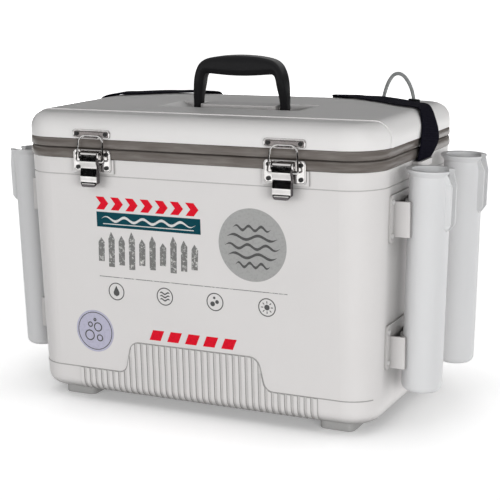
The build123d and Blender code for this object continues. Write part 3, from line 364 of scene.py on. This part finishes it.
# A darker grey for the line over the ribs: the painted shadow of a fine groove.
shadow_line_grey = plastic("painted_shadow_line_plastic", (0.40, 0.39, 0.385), rough=0.5, specular=0.2)
cap_white = plastic("screw_cap", (0.66, 0.655, 0.65), rough=0.4, specular=0.3)
collar_plastic = smoked("smoked_plastic")
strap_cloth = webbing("strap_webbing")
hose_clear = silicone("hose_silicone")
pipe_clear = clear("clear_pipe")
foam_core = foam("foam", (0.80, 0.72, 0.50))
stone_blue = stone("air_stone")
ink_red = printed("ink_red", (0.78, 0.008, 0.026))
ink_teal = printed("ink_teal", (0.001, 0.055, 0.076))
ink_white = printed("ink_white", (0.74, 0.74, 0.73))
ink_worn = printed("ink_worn_grey", (0.215, 0.215, 0.21), wear=0.06)
ink_disc = printed("ink_disc_grey", (0.41, 0.41, 0.405))
ink_dark = printed("ink_dark_grey", (0.10, 0.10, 0.10))
ink_lilac = printed("ink_lilac", (0.54, 0.53, 0.66))

by_slot = {
    "white_plastic": white, "foot_plastic": foot_white, "liner_plastic": liner_white, "foam": foam_core,
    "smoked_plastic": collar_plastic, "gasket_rubber": rubber, "stainless": chrome, "screw_steel": screw_steel,
    "black_plastic": black, "tube_plastic": tube_white, "strap_webbing": strap_cloth, "pump_plastic": pump_grey,
    "pump_accent": dark_grey, "cell_wrap": cell_wrap, "hose_silicone": hose_clear, "clear_pipe": pipe_clear,
    "air_stone": stone_blue,
}
by_node = {
    "lid_shell": lid_white_painted_lighter, "latch_strikes": strike_steel_painted_dark, "upper_bracket_screws": cap_white,
    "lower_bracket_screws": cap_white,
}
for part in frame["record"]["subparts"]:
    for slot in nodes[part["node"]].material_slots:
        slot.material = by_node.get(part["node"], by_slot[part["material_slot"]])


def nodes_body(node):
    """The body that a CAD node belongs to."""
    bodies = frame["record"]["behaviour"]["bodies"]
    return next(body for body, held in bodies.items() if node in held)


# ------------------------------------------------------------------ air line
hose_points = (
    (113, 196.2, 299), (113, 196.2, 319), (111.5, 204.2, 343), (113.5, 210.2, 362), (118.5, 212.2, 379),
    (127.5, 212.2, 391), (139.5, 212.2, 390), (149.5, 212.2, 376.5), (155, 211.2, 361), (158, 208.2, 342),
    (160, 204.2, 323), (164, 190.2, 303), (166, 176.2, 297), (166, 162.2, 297),
)
curve = bpy.data.curves.new("air_line", "CURVE")
curve.dimensions = "3D"
spline = curve.splines.new("NURBS")
spline.points.add(len(hose_points) - 1)
for point, place in zip(spline.points, hose_points):
    point.co = (*at(*place), 1)
spline.order_u = 3
spline.use_endpoint_u = True
curve.resolution_u = 12
curve.bevel_depth = 2.5 * MM
curve.bevel_resolution = 6
curve.use_fill_caps = True
curve.materials.append(hose_clear)
hose = bpy.data.objects.new("air_line", curve)
scene.collection.objects.link(hose)
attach(hose, "root")
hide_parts("air_hose")


# ------------------------------------------------------------------ shoulder strap
def strap_ribbon(name, pairs, thick=1.7, per_span=6):
    """Webbing through pairs of edge points, with softly rounded selvedges, flat coordinates in metres."""
    one = catmull([at(*a) for a, b in pairs], per_span)
    two = catmull([at(*b) for a, b in pairs], per_span)
    # Across the width: the underside first, then back along the top, thinner at the selvedges.
    across = [(0.0, 0.5), (0.02, 0.12), (0.08, 0.0), (0.3, 0.0), (0.5, 0.0), (0.7, 0.0), (0.92, 0.0), (0.98, 0.12),
              (1.0, 0.5), (0.98, 0.88), (0.92, 1.0), (0.7, 1.0), (0.5, 1.0), (0.3, 1.0), (0.08, 1.0), (0.02, 0.88)]
    rings, lengths, run = [], [], 0.0
    for i, (a, b) in enumerate(zip(one, two)):
        j, k = max(0, i - 1), min(len(one) - 1, i + 1)
        ahead = (one[k] + two[k]) - (one[j] + two[j])
        out = (b - a).cross(ahead).normalized() * thick * MM
        if i:
            run += ((one[i] + two[i]) - (one[i - 1] + two[i - 1])).length / 2
        lengths.append(run)
        rings.append([a.lerp(b, share) + out * rise for share, rise in across])
    verts, faces = loft(rings)
    obj = piece(name, verts, faces, strap_cloth, sharp=70)
    layer = obj.data.uv_layers.new(name="flat")
    width = 0.038
    n = len(across)
    for face in obj.data.polygons:
        for corner, vert in zip(face.loop_indices, face.vertices):
            ring, step = divmod(vert, n)
            layer.data[corner].uv = (lengths[ring], across[step][0] * width)
    return obj, run


side, back = 237.5, 151.2           # the collar's end and its rear face, from the middle
out, over, rear = side + 2.2, 365.9, back + 2.0     # where the webbing lies on the side, on the lid and behind it
lid_edge = back - 15.0              # where the lid's top begins to round off at the rear
# The webbing's two edges as pairs of points, from a lug to the low point behind the tank.
strap_right = (
    ((out, -25.5, 299.5), (out, 12.5, 299.5)),
    ((out, -25, 307), (out + 1, 14.5, 305)),
    ((out + 1, -21.5, 318.5), (out + 3, 27, 313.5)),
    ((out + 1, -15.5, 331), (out + 5, 40, 326)),
    ((out, -9.5, 343), (out + 3, 44, 339)),
    ((out - 2.0, -4, 353), (out - 1.0, 46, 350.5)),
    ((out - 7.0, 5, 361), (out - 6.5, 51, 360.2)),
    ((out - 15, 19, over), (out - 16, 62, over)),
    ((191, 43, over), (205, 79, over)),
    ((157, 74, over), (179, 105, over)),
    ((120, 102, over), (140, 134, over)),
    ((90, 122, over), (118, lid_edge, over)),
    ((68, lid_edge, over), (105, lid_edge + 3, over)),
    ((63, rear - 4.5, 360.5), (100, rear - 4.0, 360)),
    ((58, rear + 0.8, 347), (95, rear + 0.8, 346)),
    ((50, rear + 3, 331), (88, rear + 3, 328)),
    ((40, rear + 4.5, 290), (77, rear + 4.5, 283)),
    ((25, rear + 6, 232), (60, rear + 6, 218)),
    ((3, rear + 8, 194), (29, rear + 8, 166)),
    ((-8, rear + 8, 184.5), (5, rear + 8, 149)),
    ((-20, rear + 8, 181), (-20, rear + 8, 143)),
)
strap_left = (
    ((-out, 12.5, 299.5), (-out, -25.5, 299.5)),
    ((-out, 12.5, 309.5), (-out, -25.5, 309.5)),
    ((-out, 27.5, 320.5), (-out, -14.5, 322.5)),
    ((-out, 60, 340), (-out, 16, 340)),
    ((-out, 70, 347), (-out, 26, 347)),
    ((4.0 - out, 79, 357.5), (4.0 - out, 36, 357.5)),
    ((16 - out, 90, over), (16 - out, 49, over)),
    ((-209, 108, over), (-188, 79, over)),
    ((-184, 130, over), (-162, 102, over)),
    ((-160, lid_edge, over), (-134, 115, over)),
    ((-143, lid_edge + 3, over), (-105, lid_edge, over)),
    ((-139, rear - 4.0, 360), (-101, rear - 4.5, 360.5)),
    ((-134, rear + 0.8, 346), (-96, rear + 0.8, 347)),
    ((-128, rear + 3, 328), (-90, rear + 3, 331)),
    ((-118, rear + 4.5, 283), (-81, rear + 4.5, 290)),
    ((-101, rear + 6, 218), (-66, rear + 6, 232)),
    ((-69, rear + 8, 166), (-43, rear + 8, 194)),
    ((-45, rear + 8, 149), (-32, rear + 8, 184.5)),
    ((-20, rear + 8, 143), (-20, rear + 8, 181)),
)


def strap_slide():
    """The moulded slide that the webbing runs through: bars under the webbing and a raised rear end."""
    middle, across = Vector((189.0, 70.5)), Vector((16.0, 36.0)).normalized()
    along = Vector((across.y, -across.x))
    half_wide, half_long, bar = 22.0, 8.5, 3.4
    # Each bar: from and to across the webbing, from and to along it, and its height over the lid.
    bars = ((-half_wide + bar, half_wide, -half_long, bar - half_long, 1.3),
            (-half_wide + bar, half_wide, half_long - bar, half_long, 1.3),
            (half_wide - bar, half_wide, -half_long, half_long, 3.8),
            (-half_wide + bar, bar - half_wide + 2.0, -half_long, half_long, 1.3))
    tool = bmesh.new()
    for s0, s1, t0, t1, top in bars:
        corners = []
        for z in (over + 0.1, over + top):
            for s, t in ((s0, t0), (s1, t0), (s1, t1), (s0, t1)):
                spot = middle + across * s + along * t
                corners.append(tool.verts.new(at(spot.x, spot.y, z)))
        for ids in ((3, 2, 1, 0), (4, 5, 6, 7), (0, 1, 5, 4), (1, 2, 6, 5), (2, 3, 7, 6), (3, 0, 4, 7)):
            tool.faces.new([corners[i] for i in ids])
    obj = object_from(tool, "strap_slide", black)
    soften = obj.modifiers.new("soften", "BEVEL")
    soften.width, soften.segments = 0.5 * MM, 3
    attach(obj, "lid")
    return obj


slide = strap_slide()
for label, pairs in (("right", strap_right), ("left", strap_left)):
    strap, length = strap_ribbon("strap_" + label, pairs)
    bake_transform(strap)
    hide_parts("shoulder_strap")
    print("strap", label, "is", round(length, 4), "m long")


# ------------------------------------------------------------------ carrying handle
# Points of the outer and the inner outline of half the handle, from a foot to the middle: x, z and x, z.
handle_pairs = (
    (65, 353.8, 54.4, 353.8), (65, 361, 54.4, 361), (65, 369, 54.4, 369), (64.6, 378, 53.6, 377),
    (63.2, 391, 51.5, 389), (61.2, 402, 50.2, 396.5), (58.3, 410, 49.0, 400.6), (54.6, 416, 47.2, 403),
    (48.5, 420.8, 44.5, 403.9), (40, 423.7, 39, 403.6), (26, 425.9, 26, 402.6), (12, 426.9, 12, 401.8),
    (0, 427.2, 0, 401.6),
)


HANDLE_PIVOT = 361      # height of the handle's pivots


def handle():
    """The handle with bevelled edges, deeper in its grip than in its feet."""
    half = [Vector(row) for row in handle_pairs]
    whole = half + [Vector((-a, b, -c, d)) for a, b, c, d in reversed(handle_pairs[:-1])]
    rings = []
    for x_out, z_out, x_in, z_in in catmull(whole, 4):
        outer, inner = Vector((x_out, 0, z_out)), Vector((x_in, 0, z_in))
        width = (outer - inner).length
        rise = (z_out + z_in) / 2 - HANDLE_PIVOT
        depth = 7 + 4 * min(1, max(0, (rise - 8) / 24))
        if z_out < HANDLE_PIVOT:
            depth = math.sqrt(max(4.0, 7.5 ** 2 - (HANDLE_PIVOT - z_out) ** 2))
        bevel = min(0.42 * width, 2.2 + 4.6 * min(1, max(0, rise / 40)))
        # Half the section, from its inner to its outer edge: how far across it, and its share of the depth.
        edge = [(0.0, 0.45), (0.3, 0.62), (0.35 * bevel, 0.76), (0.75 * bevel, 0.93), (bevel, 0.985),
                (bevel + 0.7, 1.0), (0.5 * (bevel + width), 1.0), (width - 3.0, 1.0), (width - 1.3, 0.94),
                (width - 0.35, 0.82), (width, 0.66)]
        loop = [(s, -y) for s, y in edge] + [(s, y) for s, y in reversed(edge)]
        rings.append([at(*(inner + (outer - inner) * (s / width) + Vector((0, y * depth, 0)))) for s, y in loop])
    verts, faces = loft(rings)
    return piece("carry_handle", verts, faces, black, sharp=50)


grip = handle()
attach(grip, nodes_body("handle_frame"))
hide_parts("handle_frame")


# ------------------------------------------------------------------ collars
COLLAR = (475, 302.4, 47)       # width, depth and corner of the bands' outside
MOUTH = (427, 254.4, 23)        # and of their inside


def collar(name, node, base, tall):
    """A smoked band with a softly bulged face, pulled in at its two edges."""
    steps = 14
    outer = rounded_rectangle(*COLLAR, steps)
    mouth = rounded_rectangle(*MOUTH, steps)
    # Share of the height, how far the face is pulled in, and whether the point lies on the inside.
    profile = [(0.0, 2.4, 0), (0.05, 1.3, 0), (0.12, 0.6, 0), (0.22, 0.2, 0), (0.36, 0.0, 0), (0.52, 0.1, 0),
               (0.68, 0.35, 0), (0.82, 0.7, 0), (0.93, 1.2, 0), (1.0, 2.2, 0), (1.0, 0, 1), (0.0, 0, 1)]
    rings = []
    for share, inset, inside in profile:
        ring = []
        for i, (x, y) in enumerate(mouth if inside else outer):
            quarter, step = divmod(i, steps + 1)
            turn = math.radians(90 * quarter + 90 * step / steps)
            ring.append(at(x - inset * math.cos(turn), y - inset * math.sin(turn), base + share * tall))
        rings.append(ring)
    verts, faces = loft(rings, closed_path=True)
    band = piece(name, verts, faces, collar_plastic, sharp=40)
    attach(band, nodes_body(node))
    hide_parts(node)


collar("tank_collar", "body_collar", 310.0, 11.9)
collar("lid_band", "lid_collar", 323.1, 11.5)


# ------------------------------------------------------------------ draw latches
LATCH_X, PIN_Y, PIN_Z, LEVER = 127.3, -158.0, 315.0, 23.6      # the latch's middle, its pin, the lever's width
LIP = -33.0         # below this, the lever's sides run out into its lip
# The lever's front seen from the side: how far before its pin, and how far above it.
lever_front = ((-1.2, 4.3), (-3.2, 3.6), (-4.1, 2.0), (-4.3, 0.0), (-4.8, -4.0), (-5.1, -7.0), (-4.6, -9.5),
               (-3.4, -12.0), (-3.0, -14.0), (-3.5, -18.0), (-4.2, -22.5), (-4.5, -25.0), (-4.3, -29.0),
               (-4.4, -32.0), (-5.2, -34.6), (-6.3, -36.6))


def lever(name, node, side):
    """A channel of sheet steel with a bowed front and rounded edges."""
    half, sheet = LEVER / 2, 1.2
    rings = []
    line = catmull([Vector((y, z)) for y, z in lever_front], 3)
    for i, spot in enumerate(line):
        ahead = (line[min(i + 1, len(line) - 1)] - line[max(i - 1, 0)]).normalized()
        inward = Vector((-ahead.y, ahead.x))
        if inward.x < 0:
            inward = -inward
        deep = max(1.3, 2.6 - spot.x if spot.y > LIP else 3.2 + (spot.y - LIP))
        narrow = 0.0 if spot.y > LIP + 2 else (spot.y - LIP - 2) ** 2 * 0.10
        w = half - narrow
        section = [(-w, deep), (-w, 1.6), (-w + 0.45, 0.45), (-w + 1.6, 0.0), (-w + 2.4, 0.0), (w - 2.4, 0.0),
                   (w - 1.6, 0.0), (w - 0.45, 0.45), (w, 1.6), (w, deep), (w - sheet, deep), (w - sheet, 1.9),
                   (w - 1.9, sheet), (1.9 - w, sheet), (sheet - w, 1.9), (sheet - w, deep)]
        ring = []
        for x, into in section:
            lean = inward if into <= sheet else Vector((1, 0))
            place = spot + lean * into
            ring.append(at(side * LATCH_X + x, PIN_Y + place.x, PIN_Z + place.y))
        rings.append(ring)
    verts, faces = loft(rings)
    obj = piece(name, verts, faces, chrome, sharp=45)
    # The side walls and the lip get a darker steel than the front: painted shade and a painted dark reflection.
    obj.data.materials.append(lever_steel_painted_shade)
    for face in obj.data.polygons:
        on_lip = face.center.z < (PIN_Z - 33.4) * MM
        face.material_index = 1 if abs(face.normal.x) > 0.8 or on_lip else 0
    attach(obj, nodes_body(node))
    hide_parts(node)


def bead(name, width, tall, corner, x, z, face_y, radius, body, material):
    """A raised rolled rim round a plate."""
    path = rounded_rectangle(width - 2 * radius, tall - 2 * radius, corner - radius, 6)
    rings = []
    for i, (px, pz) in enumerate(path):
        quarter, step = divmod(i, 7)
        turn = math.radians(90 * quarter + 15 * step)
        rings.append([at(x + px + math.cos(turn) * radius * math.cos(a), face_y - radius * 0.8 * math.sin(a),
                         z + pz + math.sin(turn) * radius * math.cos(a))
                      for a in (math.radians(-20 + 22 * k) for k in range(11))])
    verts, faces = loft(rings, closed_path=True)
    obj = piece(name, verts, faces, material, sharp=60)
    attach(obj, body)


def slab_on_plate(name, width, tall, corner, x, z, face_y, rise, body, material, facing=-1):
    """A thin raised panel with a sloping edge on an upright face, facing the front (-1) or the rear (1)."""
    rings = []
    for inset, lift in ((0.0, -0.2), (0.0, 0.0), (min(0.5, corner * 0.4), rise), (min(1.2, corner * 0.8), rise)):
        outline = rounded_rectangle(width - 2 * inset, tall - 2 * inset, corner - inset * 0.6, 6)
        rings.append([at(x + px, face_y + facing * lift, z + pz) for px, pz in outline])
    verts, faces = loft(rings)
    obj = piece(name, verts, faces, material, sharp=35)
    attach(obj, body)


# ------------------------------------------------------------------ air pump details
CASE_X, CASE_FACE, DOOR_FACE = 137.0, 205.15, 207.55    # the case's middle, and its two rear faces
slab_on_plate("pump_grille_well", 46, 17, 3, CASE_X, 242.5, CASE_FACE, 0.3, "root", dark_grey, 1)
for i in range(4):
    slab_on_plate(f"pump_louvre_{i}", 43, 2.3, 1.1, CASE_X, 236.2 + 4.2 * i, CASE_FACE + 0.25, 1.3, "root", pump_grey,
                  1)
for i in range(3):
    slab_on_plate(f"pump_door_grip_{i}", 18, 1.6, 0.75, CASE_X, 217.5 + 3.0 * i, DOOR_FACE, 0.9, "root", pump_grey,
                  1)
for i, (dx, z) in enumerate(((-34, 278), (34, 278), (-34, 236), (34, 236))):
    slab_on_plate(f"pump_case_screw_{i}", 5.2, 5.2, 2.55, CASE_X + dx, z, CASE_FACE, 0.8, "root", screw_steel,
                  1)


# ------------------------------------------------------------------ line over the ribbed panel
DRAFT = 0.02514         # how far the tank's walls lean in for each millimetre down


def front_y(z, lift=0.0):
    """The tank's drafted front at a height, and lift before it."""
    return -(149.2 - (310 - z) * DRAFT) - lift


def arc_points(x, z, radius, angles):
    """Points of an arc about a centre, at angles in degrees."""
    return [(x + radius * math.cos(math.radians(a)), z + radius * math.sin(math.radians(a))) for a in angles]


def panel_line():
    """A fine raised line along the stepped top of the ribs and round the tank's two front corners, grey as the painted
    shadow of a groove.
    """
    low, centre_x, centre_y, radius = 43.2, 190.5, -104.2, 38.3
    half = [(-centre_x, low), (-150.0, low), *arc_points(-105.43, 55.5, 12.3, (-90, -71, -52, -32, -12.5)),
            *arc_points(-75.57, 70.0, 13.7, (167.5, 148, 129, 109, 90)), (-40.0, 83.7), (0.0, 83.7)]
    front_part = [(x, front_y(z), z, -90) for x, z in half + [(-x, z) for x, z in reversed(half[:-1])]]
    corner = [(x, y, low, a) for a in (-80, -70, -60, -50, -40, -30)
              for x, y in arc_points(centre_x, centre_y, radius, (a,))]
    line = [(-x, y, z, 180 - a) for x, y, z, a in reversed(corner)] + front_part + corner
    rings = []
    for i, (x, y, z, a) in enumerate(line):
        ahead = (Vector(line[min(i + 1, len(line) - 1)][:3]) - Vector(line[max(i - 1, 0)][:3])).normalized()
        out = Vector((math.cos(math.radians(a)), math.sin(math.radians(a)), 0))
        aside = out.cross(ahead).normalized()
        rings.append([at(*(Vector((x, y, z)) + aside * 0.55 * math.cos(turn) + out * (0.15 + 0.45 * math.sin(turn))))
                      for turn in (math.radians(45 * k) for k in range(8))])
    verts, faces = loft(rings)
    obj = piece("panel_line", verts, faces, shadow_line_grey, sharp=80)
    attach(obj, "root")


panel_line()

FACE_Y = -152.4         # front of the latches' plates
for word, side in (("left", -1), ("right", 1)):
    lever("latch_handle_" + word, "latch_lever_" + word, side)
    x = side * LATCH_X
    bead("strike_rim_" + word, 52, 11, 4, x, 340.7, FACE_Y, 1.0, nodes_body("latch_strikes"), chrome)
    slab_on_plate("strike_panel_" + word, 47, 7.0, 2.6, x, 340.5, FACE_Y, 0.35, nodes_body("latch_strikes"),
                  strike_steel_painted_dark)
    bead("plate_rim_" + word, 52, 26.8, 4, x, 308.4, FACE_Y, 0.8, nodes_body("latch_base_plates"), chrome)


# ------------------------------------------------------------------ printed marks
INK = 0.12              # thickness of a layer of ink


def mark(name, outline, material, layer=0, hole=None):
    """A thin solid of ink on the tank's front, from an outline given as (x, z)."""
    tool = bmesh.new()
    loops = [outline] + ([hole] if hole else [])
    fronts, backs = [], []
    for loop in loops:
        fronts.append([tool.verts.new(at(x, front_y(z, INK * (layer + 1)), z)) for x, z in loop])
        backs.append([tool.verts.new(at(x, front_y(z, -0.05), z)) for x, z in loop])
    for front_loop, back_loop in zip(fronts, backs):
        n = len(front_loop)
        for i in range(n):
            tool.faces.new((front_loop[i], front_loop[(i + 1) % n], back_loop[(i + 1) % n], back_loop[i]))
    for side in (fronts, backs):
        if hole:
            a, b = side
            n = len(a)
            for i in range(n):
                tool.faces.new((a[i], a[(i + 1) % n], b[(i + 1) % n], b[i]))
        else:
            tool.faces.new(side[0])
    obj = object_from(tool, name, material)
    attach(obj, "root")


def disc(x, z, radius, steps):
    """Points round a circle."""
    return arc_points(x, z, radius, [360.0 * i / steps for i in range(steps)])


def box_outline(x0, x1, z0, z1, lean=0.0):
    """An upright box, its top moved sideways by lean."""
    return [(x0, z0), (x1, z0), (x1 + lean, z1), (x0 + lean, z1)]


def wave_band(x0, x1, z, swing, waves, thick, steps=60):
    """A wavy ribbon of even thickness with tapering ends."""
    top, bottom = [], []
    for i in range(steps + 1):
        t = i / steps
        x = x0 + (x1 - x0) * t
        middle = z + swing * math.sin(2 * math.pi * waves * t)
        half = thick / 2 * min(1, 6 * t + 0.1, 6 * (1 - t) + 0.1)
        top.append((x, middle + half))
        bottom.append((x, middle - half))
    return bottom + top[::-1]


# Upper left: a row of red chevrons over a teal bar with a white wave.
for i in range(7):
    x = -127 + i * 20.6
    mark(f"red_chevron_{i}", [(x, 248.5), (x + 11, 248.5), (x + 17.5, 256.4), (x + 11, 264.3), (x, 264.3),
                              (x + 6.5, 256.4)], ink_red)
mark("teal_bar", box_outline(-127, 16, 227, 245.6), ink_teal)
mark("teal_bar_wave", wave_band(-120, 9, 237.4, 2.7, 5, 3.2), ink_white, 1)
mark("teal_bar_line", box_outline(-118, 7, 230.6, 231.7), ink_white, 1)
# Below it, worn grey reeds of uneven height.
reeds = (30, 44, 37, 47, 33, 42, 28, 45, 38, 31)
for i, tall in enumerate(reeds):
    x = -127 + i * 14.35
    low = 176 + (47 - tall) * 0.45
    mark(f"reed_{i}", [(x, low), (x + 8.2, low), (x + 9.6, low + tall * 0.8), (x + 4.9, low + tall),
                       (x + 0.9, low + tall * 0.8)], ink_worn)
# The disc with ripples.
DISC_X, DISC_Z = 83, 219.5
mark("grey_disc", disc(DISC_X, DISC_Z, 43.5, 72), ink_disc)
for i, (dz, half) in enumerate(((20, 24), (9, 32), (-2, 35), (-13, 31), (-24, 22))):
    ripple = wave_band(DISC_X - half, DISC_X + half, DISC_Z + dz, 2.6, 2 if i % 2 else 3, 3.4)
    mark(f"disc_ripple_{i}", ripple, ink_dark, 1)
# A fine rule with four ring marks under it.
mark("fine_rule", box_outline(-127, 126.5, 164.1, 164.9), ink_worn)
for i, x in enumerate((-104, -36, 32, 100)):
    z = 146.5
    mark(f"ring_mark_{i}", disc(x, z, 11.2, 40), ink_dark, 0, disc(x, z, 10.0, 40))
    if i == 0:
        mark("drop_mark", [(x, z + 7.4), (x - 2.2, z + 3.0), (x - 4.2, z - 1.0), (x - 3.6, z - 4.2), (x, z - 6.0),
                           (x + 3.6, z - 4.2), (x + 4.2, z - 1.0), (x + 2.2, z + 3.0)], ink_dark)
    elif i == 1:
        for k in range(3):
            mark(f"water_mark_{k}", wave_band(x - 7, x + 7, z + 4 - 4 * k, 1.1, 1.5, 1.8, 24), ink_dark)
    elif i == 2:
        for k, (dx, dz, r) in enumerate(((-3.2, -2.6, 3.0), (2.8, 0.2, 2.4), (-0.8, 5.0, 1.6))):
            mark(f"bubble_mark_{k}", disc(x + dx, z + dz, r, 20), ink_dark)
    else:
        mark("sun_mark", disc(x, z, 3.4, 24), ink_dark)
        ray = ((4.8, 0.5), (4.8, -0.5), (7.6, -0.5), (7.6, 0.5))       # out from the middle, and aside
        for k in range(8):
            c, d = math.cos(math.radians(45 * k)), math.sin(math.radians(45 * k))
            mark(f"sun_ray_{k}", [(x + far * c - aside * d, z + far * d + aside * c) for far, aside in ray], ink_dark)
# Below: red dashes, and the round lilac label.
for i in range(5):
    x = -60 + i * 24.6
    mark(f"red_dash_{i}", box_outline(x, x + 15.5, 89.5, 102.5, 5.5), ink_red)
LABEL_X, LABEL_Z = -138, 92.5
mark("round_label", disc(LABEL_X, LABEL_Z, 27, 64), ink_lilac)
mark("round_label_ring", disc(LABEL_X, LABEL_Z, 24.6, 64), ink_dark, 1, disc(LABEL_X, LABEL_Z, 23.6, 64))
for k, (dx, dz, r) in enumerate(((-8, -6, 7), (6.5, -8.5, 4.6), (4.5, 5.5, 6.0), (-6.5, 8.0, 3.6), (0.5, 14.6, 2.2))):
    x, z = LABEL_X + dx, LABEL_Z + dz
    mark(f"label_bubble_{k}", disc(x, z, r, 28), ink_dark, 1, disc(x, z, r - 1.5, 28))


# ------------------------------------------------------------------ stage and light
def lamp(name, place, wide, tall, power):
    """A soft lamp that faces the middle of the tank."""
    light = bpy.data.lights.new(name, "AREA")
    light.shape = "RECTANGLE"
    light.size, light.size_y = wide, tall
    light.energy = power
    obj = bpy.data.objects.new(name, light)
    scene.collection.objects.link(obj)
    obj.location = place
    obj.rotation_euler = (Vector((0, 0, 0.2)) - Vector(place)).to_track_quat("-Z", "Y").to_euler()
    obj.visible_glossy = False      # reflections show the white surroundings and the curtain


lamp("key", (-1.9, -3.2, 0.7), 2.4, 1.1, 41)
lamp("fill", (2.9, -2.6, 0.55), 2.0, 1.0, 82)
lamp("back_right", (2.6, 3.0, 0.6), 1.8, 1.0, 50)
lamp("back_left", (-2.6, 3.0, 0.6), 1.8, 1.0, 50)

world = bpy.data.worlds.new("studio")
scene.world = world
world.use_nodes = True
tree = world.node_tree
tree.nodes.clear()


def shown_rays(tree):
    """One for the rays that see the background: the camera's, glossy and transmitted ones."""
    rays = add(tree, "ShaderNodeLightPath")
    seen = add(tree, "ShaderNodeMath", {0: rays.outputs["Is Camera Ray"], 1: rays.outputs["Is Glossy Ray"]},
               operation="MAXIMUM")
    return add(tree, "ShaderNodeMath", {0: seen.outputs[0], 1: rays.outputs["Is Transmission Ray"]},
               operation="MAXIMUM").outputs[0]


light = add(tree, "ShaderNodeBackground", {"Color": (1, 1, 1, 1), "Strength": 0.15})
shown = add(tree, "ShaderNodeBackground", {"Color": (1, 1, 1, 1), "Strength": 1.0})
both = add(tree, "ShaderNodeMixShader", {0: shown_rays(tree), 1: light.outputs[0], 2: shown.outputs[0]})
add(tree, "ShaderNodeOutputWorld", {"Surface": both.outputs[0]})

floor_material, tree, face = shader("floor")
face.inputs["Base Color"].default_value = (0.92, 0.92, 0.92, 1)
face.inputs["Roughness"].default_value = 0.9
face.inputs["Specular IOR Level"].default_value = 0.1
# Ambient occlusion dims the floor's glow close to the tank: a painted contact shadow.
floor_occlusion = add(tree, "ShaderNodeAmbientOcclusion", {"Distance": 0.12}, samples=8)
distance = add(tree, "ShaderNodeVectorMath", {0: add(tree, "ShaderNodeNewGeometry").outputs["Position"]},
               operation="LENGTH")
far = add(tree, "ShaderNodeMapRange", {"Value": distance.outputs["Value"], "From Min": 0.5, "From Max": 2.4,
                                       "To Min": 0.70, "To Max": 1.0})
painted_contact_shadow = add(tree, "ShaderNodeMapRange", {"Value": floor_occlusion.outputs["AO"], "From Min": 0.25, "From Max": 1.0,
                                            "To Min": 0.30, "To Max": 1.0})
level = add(tree, "ShaderNodeMath", {0: far.outputs["Result"], 1: painted_contact_shadow.outputs["Result"]}, operation="MULTIPLY")
level = add(tree, "ShaderNodeMath", {0: level.outputs[0], 1: shown_rays(tree)}, operation="MULTIPLY")
glow = add(tree, "ShaderNodeEmission", {"Color": (1, 1, 1, 1), "Strength": level.outputs[0]})
sum_up = add(tree, "ShaderNodeAddShader", {0: face.outputs[0], 1: glow.outputs[0]})
tree.links.new(sum_up.outputs[0], tree.nodes["Material Output"].inputs["Surface"])
floor = piece("floor", [(-30, -30, 0), (30, -30, 0), (30, 30, 0), (-30, 30, 0)], [(0, 1, 2, 3)], floor_material,
              smooth=False)

# A dark curtain far round the set, seen only in reflections, gives metal its dark bands.
curtain_dark, _, face = shader("curtain")
face.inputs["Base Color"].default_value = (0.01, 0.01, 0.011, 1)
face.inputs["Roughness"].default_value = 1.0
face.inputs["Specular IOR Level"].default_value = 0.0
curtain_radius, curtain_top, sides = 7.0, 2.3, 48
ring = [(curtain_radius * math.cos(2 * math.pi * i / sides), curtain_radius * math.sin(2 * math.pi * i / sides))
        for i in range(sides)]
curtain = piece("curtain", [(x, y, z) for z in (0.001, curtain_top) for x, y in ring],
                [(i, (i + 1) % sides, sides + (i + 1) % sides, sides + i) for i in range(sides)], curtain_dark)
for kind in ("camera", "diffuse", "transmission", "volume_scatter", "shadow"):
    setattr(curtain, "visible_" + kind, False)
